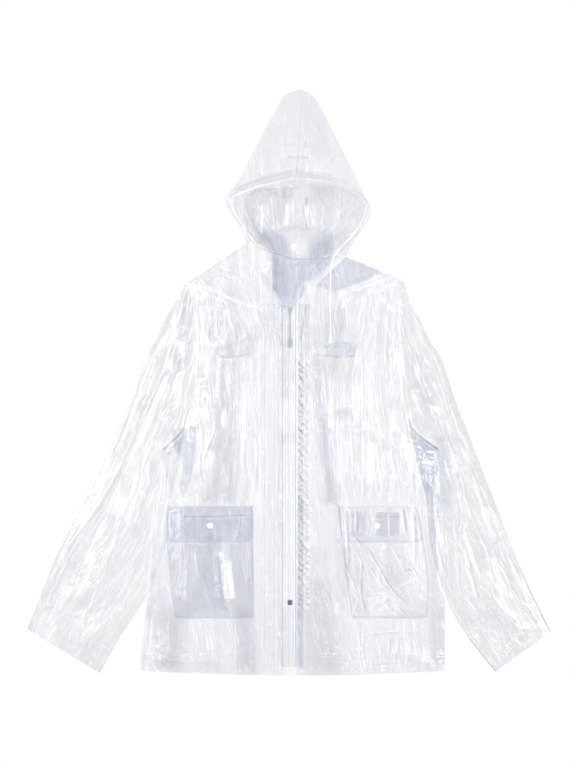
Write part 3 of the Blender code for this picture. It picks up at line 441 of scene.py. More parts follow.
CLEAR, CLING = (0.897, 0.899, 0.916), (0.735, 0.75, 0.815)
FILM = film_material("clear_film", CLEAR, CLING)
BACK_FILM = film_material("clear_film_back", (0.928, 0.928, 0.938), (0.63, 0.66, 0.745), angle=84, fine=0.5)
CAPE_FILM = film_material("clear_film_cape", (0.985, 0.985, 0.99), CLING, angle=95, fine=0.4, share=0.04)
SLEEVE_FILM = {
    "right": film_material("clear_film_sleeve_right", (0.894, 0.895, 0.906), CLING, angle=60, fine=0.8),
    "left": film_material("clear_film_sleeve_left", (0.890, 0.891, 0.902), CLING, angle=-63, fine=0.8)}
HOOD_FILM = film_material("clear_film_hood", (0.917, 0.919, 0.936), (0.62, 0.67, 0.78), angle=88, fine=0.3)
FILM_DOUBLE = film_material("clear_film_double", (0.955, 0.956, 0.965), CLING, angle=86, fine=0.4)
STRIP_FILM = film_material("clear_film_strip", (0.985, 0.986, 0.99), CLING, angle=88, fine=0.3, share=0.04)
POCKET_FILM = {
    "right": film_material("clear_film_pocket_right", (0.885, 0.892, 0.925), (0.72, 0.74, 0.81), angle=80,
                           fine=0.25),
    "left": film_material("clear_film_pocket_left", (0.968, 0.969, 0.976), CLING, angle=60, fine=0.4,
                          share=0.03)}
TAPE_FILM = film_material("zip_tape_clear", (0.965, 0.967, 0.975), (0.74, 0.75, 0.84), fine=0.4, share=0.12)
TEETH = solid_material("zip_teeth_clear", (0.72, 0.75, 0.80), 0.35, coat=0.3)
METAL = solid_material("zip_metal_worn", (0.50, 0.52, 0.56), 0.40, metallic=0.3)
DARK = solid_material("zip_pull_smoke", (0.34, 0.36, 0.40), 0.40)
STOP = solid_material("zip_stop_dark", (0.10, 0.11, 0.13), 0.40)
WHITE = solid_material("white_moulded", (0.80, 0.82, 0.86), 0.30, coat=0.4)

CLEAR_SNAP = film_material("snap_clear", (0.90, 0.90, 0.92), CLING, fine=0.1, share=0.25)

# ---------------------------------------------------------------- mesh makers
BODY = "jacket"


def placed(name, vertices, faces, look, shade_smooth=True):
    """A mesh object from millimetres."""
    mesh = bpy.data.meshes.new(name)
    v = np.asarray(vertices, float) * MM
    mesh.from_pydata(v.tolist(), [], faces)
    if shade_smooth:
        mesh.shade_smooth()
    mesh.materials.append(look)
    made = bpy.data.objects.new(name, mesh)
    bpy.context.scene.collection.objects.link(made)
    return made


def paint(made, **values):
    """Stores what the film's material reads at each point."""
    # the tint where film clings, the whiteness of haze and painted sheen, and painted shade
    for name in ("cling", "milk", "shade"):
        layer = made.data.attributes.new(name, "FLOAT", "POINT")
        value = values.get(name)
        if value is not None:
            layer.data.foreach_set("value", np.asarray(value, np.float32).ravel())


def slope_of(points):
    """How steep a grid of points is at each, 0 flat to 1 upright."""
    du = np.gradient(points, axis=0)
    dv = np.gradient(points, axis=1)
    normal = np.cross(du, dv)
    size = np.linalg.norm(normal, axis=-1) + 1e-9
    return np.sqrt(np.clip(1 - (normal[..., 2] / size) ** 2, 0, 1))


def blurred(z, rounds):
    """The field with its fine relief smoothed away."""
    for _ in range(rounds):
        z = np.pad(z, 1, mode="edge")
        z = (z[:-2, 1:-1] + z[2:, 1:-1] + z[1:-1, :-2] + z[1:-1, 2:] + 2 * z[1:-1, 1:-1]) / 6
    return z


def film_grid(name, points, look, cling=0.0, milk=0.0, shade=0.0, closed=False, relief=1.0):
    """A film panel from a grid of points, with painted highlight on its crests and painted shade in its
    hollows and on its steep sides.
    """
    rows, cols = points.shape[:2]
    faces = []
    last = cols if closed else cols - 1
    for r in range(rows - 1):
        base, above = r * cols, (r + 1) * cols
        faces += [(base + c, base + (c + 1) % cols, above + (c + 1) % cols, above + c) for c in range(last)]
    made = placed(name, points.reshape(-1, 3), faces, look)
    z = points[..., 2]
    bend = (z - blurred(z, 5)) * relief
    steep = slope_of(points) * relief
    # painted shade on steep sides and in hollows; painted highlight and sheen on crests, partly the film's
    # own whitening at creases
    shade = shade + 0.9 * smooth((steep - 0.12) / 0.5) + np.clip(-bend / 0.45, 0, 0.7)
    shade = shade - 0.12 * smooth(bend / 0.5)
    milk = milk + 0.04 * smooth(bend / 0.40)
    paint(made, cling=np.clip(cling + 0 * z, 0, 1.3), milk=np.clip(milk, 0, 0.9), shade=shade)
    return made


def wear(made, replaced):
    """Rides on the jacket and stands for its solids."""
    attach(made, BODY)
    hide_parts(*replaced)


def underarm_calm(x, y):
    """1 over the jacket and 0 where body, sleeve and armhole meet, whose steps aren't folds."""
    calm = 1.0
    for at_x, at_y in UNDERARMS:
        calm = calm * smooth((np.hypot(x - at_x, y - at_y) - 25) / 45)
    return calm


LOW_ROWS, HIGH_ROWS = 225, 195  # grid rows below the underarm and above it


def levels_of(foot, top):
    """The grid rows' heights on the jacket, below the underarm and above it."""
    lower = np.linspace(foot, UNDERARM_Y, LOW_ROWS, endpoint=False)
    return lower, UNDERARM_Y + np.linspace(0, 1, HIGH_ROWS) * (top - UNDERARM_Y)


def side_points(side, armhole):
    """Places along a side seam and up its armhole."""
    lower, upper = levels_of(side[0][0], armhole[-1][0])
    xs = np.r_[x_of(side, lower), x_of(armhole, upper)]
    return np.stack([xs, np.r_[lower, upper]], -1)


def guide_points(guide):
    """Places along a guide line."""
    ys = np.concatenate(levels_of(guide[0][0], guide[-1][0]))
    return np.stack([x_of(guide, ys), ys], -1)


def between(guides, counts):
    """A grid that runs from guide to guide, with this many steps in each gap."""
    columns = [guides[0]]
    for a, b, count in zip(guides[:-1], guides[1:], counts):
        columns += [a + (b - a) * k / count for k in range(1, count + 1)]
    return np.stack(columns, axis=1)


SIDES = {"right": (SIDE_R, ARMHOLE_R), "left": (SIDE_L, ARMHOLE_L)}
EDGE = {name: side_points(*tables) for name, tables in SIDES.items()}


def side_distance(x, y):
    """How far a point lies inside the nearer side seam or armhole."""
    from_right = x - np.interp(y, EDGE["right"][:, 1], EDGE["right"][:, 0])
    from_left = np.interp(y, EDGE["left"][:, 1], EDGE["left"][:, 0]) - x
    return np.minimum(from_right, from_left)


def seam_distance(side, xy):
    """How far a point lies outside the body's edge, 0 inside it."""
    inside = side_distance(xy[..., 0], xy[..., 1]) >= 0
    line = EDGE[side][::6]
    d = polyline_field(xy[..., 0], xy[..., 1], np.vstack([line, EDGE[side][-1:]]))[0]
    return np.where(inside, 0, d)


def over_arm(x, y):
    """Lift of the body where it lies over a sleeve's underarm."""
    inside = 1 - smooth((side_distance(x, y) - TUCK_DEEP) / TUCK_FADE)
    return TUCK_LIFT * inside * smooth((y + 455) / 40) * (1 - smooth((y + 95) / 50))


def over_cape(y):
    """Lift of the back where it lies over the cape."""
    return CAPE_LIFT * smooth(y / 36)


def back_under(x, y):
    """Underside of the back panel."""
    return over_cape(y) + over_arm(x, y)


def line_distance(x, y, a, b):
    """Distance to the straight line through two places."""
    length = math.hypot(b[0] - a[0], b[1] - a[1])
    return np.abs((x - a[0]) * (b[1] - a[1]) - (y - a[1]) * (b[0] - a[0])) / length


def front_rise(side, x, y):
    """How free a front is to stand up: 0 at its seams, 1 inside them."""
    shoulder = np.where(y > 100, line_distance(x, y, *SHOULDERS[side]), SIDE_ROUND)
    return smooth(side_distance(x, y) / SIDE_ROUND) * smooth(shoulder / SIDE_ROUND)


def front_top(side, x, y):
    """The middle of the front's wall, before its creases."""
    rise = front_rise(side, x, y)
    return WALL + SEAM + MIDWALL + over_arm(x, y) + over_cape(y) * (1 - rise) + LOFT * rise


def calm(x, y):
    """1 where a front may fold, 0 under the pockets and beside the zip."""
    beside_zip = smooth((np.abs(x - ZIP_X) - 50) / 25)
    from_side = smooth(side_distance(x, y) / 24)
    below = smooth((y - POCKET_TOP - 4) / 30)
    foot = smooth((POCKET_FOOT - 4 - y) / 30)
    return beside_zip * from_side * np.maximum(below, foot)


# ---------------------------------------------------------------- camera
camera = bpy.data.objects.new("photo_camera", bpy.data.cameras.new("photo_camera"))
bpy.context.scene.collection.objects.link(camera)
bpy.context.scene.camera = camera
CAMERA_HIGH, SENSOR = 5.0, 36.0  # m above the jacket, and mm
camera.data.sensor_width = SENSOR
camera.data.lens = SENSOR * CAMERA_HIGH / (PHOTO_SCALE * PHOTO_SIZE[1] * MM)
camera.location = (*(px((PHOTO_SIZE[0] / 2, PHOTO_SIZE[1] / 2)) * MM), CAMERA_HIGH)

# ---------------------------------------------------------------- creases, tints, painted shade and highlights, in photograph pixels
# rows: height in mm (a trough where negative), half width in mm, then the points along it
FRONT_CREASES = {
    "right": (
        (2.2, 7, (194, 283), (216, 291), (240, 302), (266, 311)),
        (1.1, 2.5, (198, 287), (222, 296), (246, 308), (264, 313)),
        (1.0, 2.2, (218, 292), (226, 306), (232, 330)), (0.9, 2.2, (214, 292), (219, 308), (222, 332)),
        (0.9, 2.2, (236, 301), (246, 316), (256, 340)), (0.9, 2.2, (246, 304), (256, 318), (264, 338)),
        (1.0, 2.4, (208, 262), (228, 268), (250, 280), (262, 296)),
        (0.8, 2.2, (214, 272), (236, 280), (256, 298)), (0.9, 2.2, (222, 262), (236, 262), (252, 268)),
        (0.8, 2.0, (206, 276), (222, 282), (240, 292)), (1.0, 2.2, (165.5, 440), (163, 470), (160.5, 505)),
        (0.8, 2.0, (168.5, 452), (166.5, 478), (164, 503)), (0.9, 2.2, (200, 330), (201, 352), (199, 372)),
        (0.9, 2.0, (203, 312), (205, 330), (204, 350)), (0.8, 2.2, (222, 312), (221, 326), (224, 340)),
        (0.7, 2.2, (240, 366), (243, 400), (242, 440)), (0.7, 2.0, (252, 360), (254, 395), (252, 430)),
        (0.7, 2.0, (246, 440), (247, 470), (245, 500)), (0.7, 3, (200, 292), (221, 300), (236, 312)),
        (0.6, 3, (225, 298), (231, 318), (236, 345)), (0.5, 2.5, (229, 300), (240, 322), (246, 348)),
        (-0.8, 5, (206, 297), (226, 308), (244, 322)),
        (1.0, 5, (206.8, 316), (208.4, 340), (206.8, 372), (213, 404), (214.8, 428), (206.8, 449),
         (200.4, 473)), (1.4, 5, (211, 330), (210, 342), (212, 356)),
        (0.6, 3, (198.8, 321), (198.8, 340), (196.4, 378), (198.8, 404), (197, 428), (200, 475)),
        (0.8, 4, (221, 372), (226, 410), (228, 450), (229, 500)),
        (-0.9, 6, (235.6, 372), (233, 410), (232, 452), (233, 500)),
        (0.6, 4, (246, 352), (249, 400), (250, 450), (249, 500)),
        (0.5, 3, (257, 340), (258, 400), (259, 470), (258, 560), (258, 640)),
        (0.5, 2.5, (160, 430.5), (200, 430), (235, 431), (270, 429.5)),
        (0.7, 4, (180, 480), (190, 492), (204, 500)), (0.5, 3, (190, 470), (207, 478), (222, 496)),
        (0.8, 3, (235, 626), (235.5, 650), (235, 673)), (0.6, 3, (150, 655), (160, 660), (172, 668)),
        (0.6, 3, (160, 650), (176, 657), (190, 668)), (0.5, 3, (176, 652), (196, 663), (210, 670)),
        (0.5, 3, (143, 640), (160, 648), (182, 652)), (-0.6, 4, (200, 628), (207, 650), (205, 672)),
        (0.7, 4, (152, 560), (150, 590), (146, 625)), (0.5, 3, (160, 520), (158, 560), (155, 600)),
        (0.4, 2.5, (250, 625), (252, 650), (250, 672))),
    "left": (
        (2.0, 7, (388, 273), (358, 285), (343, 291), (333, 292)),
        (1.0, 2.4, (392, 276), (372, 283), (352, 292), (336, 296)),
        (0.9, 2.2, (361, 372), (361.5, 410), (362, 450), (361, 504)),
        (0.9, 2.2, (365.5, 380), (366, 420), (367, 460), (366, 504)),
        (0.9, 2.2, (350, 292), (346, 312), (348, 330)), (0.9, 2.2, (362, 288), (360, 312), (356, 332)),
        (0.9, 2.2, (374, 284), (376, 306), (372, 332)), (0.9, 2.2, (386, 280), (388, 304), (386, 330)),
        (0.8, 2.2, (372, 340), (374, 380), (378, 420)), (0.8, 2.2, (384, 336), (386, 380), (392, 430)),
        (0.8, 2.2, (392, 330), (395, 370), (396, 410)), (0.8, 2.2, (350, 440), (352, 470), (350, 502)),
        (0.8, 2.2, (374, 440), (378, 470), (384, 502)), (0.9, 2.2, (398, 420), (404, 450), (414, 490)),
        (0.8, 2.0, (346, 300), (340, 318), (338, 336)), (0.7, 2.0, (356, 360), (354, 380), (356, 400)),
        (0.7, 4, (380, 283), (356, 300), (340, 322)), (0.6, 3, (345, 292), (336, 305), (330, 330)),
        (0.5, 3, (372, 290), (372, 310), (366, 338)),
        (1.0, 4, (402, 300), (404, 330), (403, 360), (407, 400)),
        (0.7, 3, (394, 305), (402, 348), (402, 404), (405, 428), (410, 468)),
        (0.7, 4, (327, 372), (328, 436), (333, 492), (337, 520)),
        (-0.5, 7, (321, 360), (322, 420), (326, 480)), (0.8, 3, (361.5, 372), (362, 430), (363, 500)),
        (0.7, 3, (363, 625), (362, 650), (361, 672)),
        (0.5, 3, (378, 350), (380, 400), (384, 440), (388, 500)),
        (-0.6, 5, (345, 395), (346, 430), (350, 470)), (0.6, 3.5, (392, 440), (398, 470), (408, 500)),
        (0.5, 3, (340, 420), (352, 424), (366, 421)),
        (0.5, 2.5, (312, 430), (345, 430.5), (380, 429.5), (410, 430)),
        (1.2, 4, (408, 424), (418, 436), (414, 452)), (1.0, 3, (424, 418), (420, 440), (428, 462)),
        (0.9, 3, (410, 452), (420, 458), (432, 455)), (0.8, 3, (405, 440), (416, 446), (427, 441)),
        (0.7, 4, (432, 470), (434, 520), (438, 570)), (0.6, 3, (436, 600), (437, 630), (440, 662)),
        (0.5, 2.5, (388, 640), (389, 655), (388, 668)), (0.5, 2.5, (397, 640), (398, 655), (400, 668)),
        (0.5, 2.5, (405, 638), (407, 654), (406, 668)), (0.6, 3, (340, 655), (356, 662), (370, 670)),
        (0.6, 3, (410, 655), (424, 660), (440, 668)), (0.5, 3, (420, 640), (432, 648), (443, 655)),
        (0.5, 2.5, (316, 625), (318, 650), (316, 672)))}
BACK_CREASES = (
    (0.9, 6, (214, 330), (222, 420), (224, 500), (230, 600)), (-0.7, 8, (262, 340), (256, 440), (262, 560)),
    (0.8, 6, (345, 340), (340, 440), (348, 540), (350, 640)), (0.7, 5, (380, 360), (392, 460), (396, 600)),
    (0.5, 3, (160, 430.5), (230, 430), (300, 430), (380, 431), (425, 430)),
    (0.5, 3, (235.5, 600), (235.5, 673)), (0.6, 3, (362, 370), (363, 500), (362, 672)),
    (0.6, 5, (216, 355), (215, 340), (220, 322)), (0.6, 5, (232, 356), (236, 338), (232, 318)),
    (-0.6, 5, (225, 355), (228, 335), (226, 312)), (0.7, 5, (322, 355), (320, 335), (327, 315)),
    (-0.6, 5, (335, 354), (338, 335), (334, 318)), (0.6, 4, (350, 356), (354, 338), (350, 322)))
SLEEVE_CREASES = {
    "right": (
        (1.2, 2.4, (186.5, 290), (181, 320), (175, 352), (172, 388), (168.5, 410), (166, 440)),
        (0.9, 2.2, (183, 330), (178, 356), (175, 390), (171, 420)),
        (0.9, 2.4, (180, 372), (174, 400), (160, 440)), (0.9, 2.4, (168, 380), (156, 410), (146, 440)),
        (0.9, 2.4, (150, 420), (140, 450), (128, 480)), (0.9, 2.4, (140, 470), (126, 505), (108, 540)),
        (0.8, 2.4, (120, 520), (104, 556), (90, 590)),
        (1.6, 7, (187, 296), (173, 356), (162, 375), (144, 404), (130, 444), (123, 462), (103, 498),
         (93, 515), (78, 533), (62, 557), (47, 598)),
        (-1.2, 6, (182, 330), (170, 362), (152, 402), (138, 440), (118, 482), (98, 520), (76, 552)),
        (0.8, 4, (183, 360), (172, 388), (168, 404), (166, 428), (160, 460)),
        (0.9, 4, (160, 410), (150, 450), (138, 480), (126, 520)),
        (0.8, 4, (150, 470), (140, 510), (124, 548)), (0.7, 4, (130, 560), (112, 590), (98, 620)),
        (0.6, 3, (140, 570), (126, 600), (108, 630)), (0.7, 3, (84, 540), (96, 552), (112, 558)),
        (0.6, 3, (70, 566), (86, 576), (104, 580)), (0.6, 3, (100, 600), (84, 612), (70, 618)),
        (0.5, 3, (60, 580), (56, 596), (48, 612)), (0.6, 3, (116, 500), (128, 508), (142, 510)),
        (0.5, 2.5, (146, 430), (156, 436), (166, 434)), (0.6, 3, (52, 610), (62, 622), (74, 632)),
        (0.6, 3, (44, 618), (56, 630), (66, 642)), (0.5, 3, (80, 630), (88, 642), (96, 656)),
        (-0.7, 4, (90, 560), (78, 590), (64, 610)), (0.6, 3, (194, 300), (188, 330), (186, 352)),
        (0.5, 3, (190, 360), (184, 390), (180, 420))),
    "left": (
        (2.0, 6, (434, 400), (446.7, 440), (460, 473), (466.7, 507), (478, 533), (488, 557), (491.7, 575),
         (493.3, 598), (496.7, 623)),
        (-1.2, 5, (440, 446), (452, 480), (460, 515), (470, 545), (480, 575), (484, 600)),
        (1.1, 5, (400, 297), (402, 324), (405, 343), (410, 369), (421, 385), (431, 420), (443.6, 441)),
        (0.9, 4, (441, 505), (447, 540), (451, 600)), (-0.9, 5, (463, 540), (470, 570), (478, 600)),
        (0.8, 4, (420, 350), (436, 390), (450, 430)), (0.7, 4, (456, 440), (474, 480), (490, 520)),
        (0.7, 3, (466, 470), (478, 476), (490, 474)), (0.7, 3, (474, 500), (486, 508), (500, 506)),
        (0.7, 3, (480, 530), (492, 540), (508, 540)), (0.8, 3, (496, 560), (506, 580), (514, 604)),
        (0.7, 3, (497, 612), (508, 618), (520, 628)), (0.6, 3, (500, 622), (512, 630), (522, 642)),
        (0.6, 3, (520, 600), (532, 612), (541, 626)), (0.6, 3, (455, 600), (466, 624), (480, 650)),
        (0.5, 3, (478, 610), (486, 632), (492, 655)), (0.6, 3, (445, 470), (455, 500), (458, 530)),
        (0.6, 3, (412, 320), (424, 350), (432, 372)), (0.5, 3, (430, 360), (444, 384), (456, 410)))}
HOOD_CREASES = (
    (1.0, 5, (281, 149), (297, 148), (312, 150)), (-0.9, 4, (283, 158), (298, 157.5), (312, 159)),
    (0.6, 4, (268, 130), (284, 138), (296, 140)), (0.6, 4, (325, 120), (322, 150), (318, 176)),
    (0.7, 4, (256, 160), (262, 140), (276, 118)), (0.7, 4, (340, 160), (334, 140), (322, 118)),
    (0.6, 3, (246, 186), (252, 170), (262, 156)), (0.6, 3, (356, 186), (350, 168), (342, 158)),
    (0.6, 3, (290, 110), (288, 130), (284, 150)), (0.5, 3, (310, 104), (312, 130), (309, 150)),
    (0.7, 4, (236, 205), (246, 222), (252, 240)), (0.7, 4, (364, 205), (352, 222), (346, 240)),
    (0.5, 3, (272, 172), (270, 160), (274, 146)), (0.5, 3, (330, 176), (330, 160), (326, 146)))
FACE_CREASES = (
    (1.2, 5, (263, 197), (264, 215), (262, 236)), (1.3, 5, (288, 198), (289, 214), (287, 232)),
    (1.3, 5, (310, 198), (309, 215), (312, 236)), (0.9, 4, (256, 200), (264, 216), (275, 233)),
    (0.8, 4, (276, 196), (276, 212), (279, 226)), (0.8, 4, (299, 196), (300, 210), (298, 224)),
    (0.8, 4, (324, 198), (322, 214), (318, 234)), (0.7, 4, (336, 200), (330, 220), (324, 240)),
    (0.7, 4, (246, 206), (250, 222), (258, 242)), (0.6, 3, (350, 205), (344, 222), (336, 238)))
POCKET_CREASES = {
    "right": (
        (1.4, 5, (225, 545), (221, 561), (223.8, 595), (233.6, 618)),
        (0.9, 4, (210, 530), (200, 550), (190, 575)), (0.8, 3, (208, 532), (196, 544), (180, 556)),
        (0.7, 3, (212, 532), (209, 556), (206, 580)), (-1.0, 6, (214, 540), (212, 570), (215, 600)),
        (0.6, 3, (240, 545), (244, 575), (246, 605)), (0.6, 3, (180, 580), (190, 596), (196, 612)),
        (0.6, 3, (230, 506), (231, 514), (229, 524))),
    "left": (
        (1.8, 5, (367, 551), (376, 564), (387, 578)), (1.9, 5, (368, 575), (388, 591), (413, 606)),
        (1.4, 4, (345, 565), (350, 578), (355, 590)), (1.2, 4, (350, 545), (360, 560), (364, 580)),
        (1.2, 4, (392, 548), (400, 566), (412, 580)), (1.2, 4, (380, 600), (392, 612), (406, 620)),
        (1.0, 3, (402, 560), (414, 572), (420, 590)), (1.0, 3, (356, 596), (364, 606), (378, 612)),
        (-1.2, 4, (374, 556), (390, 572), (404, 590)), (0.9, 3, (410, 596), (416, 606), (420, 620)),
        (1.0, 3, (352, 515), (358, 525), (354, 538)), (1.0, 3, (362, 514), (366, 524), (370, 538)),
        (0.9, 3, (384, 512), (383, 524), (386, 536)), (0.8, 3, (400, 514), (402, 526), (400, 537)))}
# rows: strength, soft edge in mm, then the pixel outline
# painted highlight: a thin white streak down the right pocket
POCKET_HIGHLIGHT = {
    "right": ((0.60, 0.7, (222.4, 551), (223.2, 551), (225, 568), (228, 592), (232.4, 616), (231.4, 616),
               (226.4, 598), (222.8, 568)),
              (0.10, 3, (224, 560), (231, 580), (240, 614), (233, 616), (226, 590))),
    "left": ()}
# painted shade in patches; negative rows are painted highlight
POCKET_SHADE = {
    "right": (
        (0.6, 3, (208, 534), (220, 538), (220, 556), (222, 590), (228, 612), (212, 606), (204, 580),
         (206, 556)), (0.4, 8, (170, 542), (206, 545), (204, 590), (216, 612), (178, 614)),
        (0.5, 5, (228, 545), (253, 540), (254, 614), (237, 615), (230, 585)),
        (-0.5, 3, (244, 542), (250, 542), (251, 575), (246, 580))),
    "left": (
        (0.35, 5, (378, 560), (392, 566), (402, 588), (388, 584)),
        (0.3, 4, (352, 560), (360, 566), (366, 590), (358, 586)),
        (-0.5, 5, (368, 594), (392, 594), (400, 604), (396, 616), (370, 616)),
        (-0.3, 6, (364, 548), (368, 560), (372, 590), (363, 590)),
        (0.5, 4, (341, 545), (349, 548), (350, 600), (345, 600)),
        (0.3, 4, (400, 556), (408, 556), (414, 570), (408, 576)),
        (0.15, 12, (338, 545), (420, 545), (424, 618), (348, 618)))}
POCKET_CLING = {
    "right": ((0.35, 6, (166, 505), (256, 505), (256, 560), (252, 618), (176, 618), (168, 560)),
              (0.25, 6, (205, 536), (222, 538), (224, 600), (214, 606), (200, 575))),
    "left": ((0.30, 3, (356, 537), (400, 537), (398, 543), (358, 543)),)}
FLAP_CLING = (
    (0.15, 4, (166, 504), (257, 504), (257, 540), (166, 540)),
    (0.25, 3, (168, 517), (256, 517), (256, 539), (168, 539)),
    (0.75, 2.0, (376, 512), (387.5, 512), (387.5, 536), (377, 536)),
    (0.75, 2.0, (389.5, 512), (399, 512), (399, 536), (389.5, 536)),
    (0.45, 2.5, (352, 511), (366, 511), (365, 536), (352, 536)),
    (0.20, 4, (337, 506), (349, 506), (349, 536), (339, 536)))
# rows: painted highlight, painted shade, half width in mm, then the points of the line
NECK_LINES = (
    (0.9, 0.5, 1.0, (252, 234.7), (254, 250), (255.6, 263)),
    (0.6, 0.5, 1.0, (262.7, 249), (268, 258), (271.5, 272)),
    (0.5, 0.5, 1.0, (228, 199), (238, 215), (248, 234), (262, 247), (270, 256), (271.5, 285), (283, 297)),
    (0.9, 0.7, 1.2, (371, 209), (361, 228), (345, 243), (330, 255), (316, 264), (307, 275), (303, 287),
     (298, 303)), (0.9, 0.4, 1.0, (318, 257), (329, 262), (341, 267)),
    (0.9, 0.4, 1.0, (317, 267), (330, 259.5), (342, 250)),
    (0.6, 0.3, 1.0, (322, 254), (325, 262), (321, 268)), (0.6, 0.3, 1.0, (334, 255), (338, 259), (337, 265)),
    (0.5, 0.3, 0.9, (342.7, 245), (352, 236), (360, 228)),
    (0.5, 0.2, 0.9, (324.7, 237), (328, 246), (329, 254)),
    (0.0, 1.0, 1.2, (307, 292), (304, 318), (299.5, 344)),
    (0.7, 0.2, 0.9, (297.2, 300), (297.2, 322), (297, 345)),
    (0.0, 0.7, 0.9, (310, 296), (307.5, 318), (303, 342)),
    (0.5, 0.3, 0.9, (305.5, 300), (302.5, 325), (299, 346)),
    (0.6, 0.3, 1.2, (246, 262), (254, 272), (264, 282)), (0.5, 0.3, 1.0, (251, 256), (260, 266), (270, 290)),
    (0.5, 0.3, 1.0, (256, 268), (262, 284), (272, 300)), (0.5, 0.2, 0.9, (330, 268), (340, 274), (352, 276)),
    (0.0, 0.5, 2.4, (326, 262), (334, 272), (334, 284)), (0.4, 0.3, 1.0, (310, 262), (318, 272), (320, 286)))
BACK_LINES = (
    (0.2, 0.9, 2.2, (262, 262), (272, 284), (284, 302)), (0.4, 0.8, 1.6, (318, 262), (306, 276), (298, 298)),
    (0.0, 0.7, 1.8, (301, 262), (298, 280), (293, 300)), (0.6, 0.2, 1.4, (290, 264), (291, 275), (290, 286)),
    (0.0, 0.6, 2.0, (274, 263), (288, 267), (304, 263)), (0.0, 0.7, 2.4, (270, 270), (278, 274), (286, 272)),
    (0.6, 0.2, 3.0, (298, 243), (303, 250), (309, 259)), (0.0, 0.8, 3.0, (272, 236), (275, 262), (275, 292)),
    (0.0, 0.8, 2.0, (286, 262), (288, 284), (285, 306)), (0.4, 0.5, 1.6, (279, 240), (282, 262), (282, 288)),
    (0.4, 0.4, 1.4, (292, 256), (297, 276), (292, 300)), (0.0, 0.7, 3.0, (318, 240), (324, 252), (316, 270)),
    (0.5, 0.3, 1.2, (313, 240), (316, 256), (309, 274)), (0.3, 0.4, 1.2, (268, 244), (269, 262), (272, 284)))
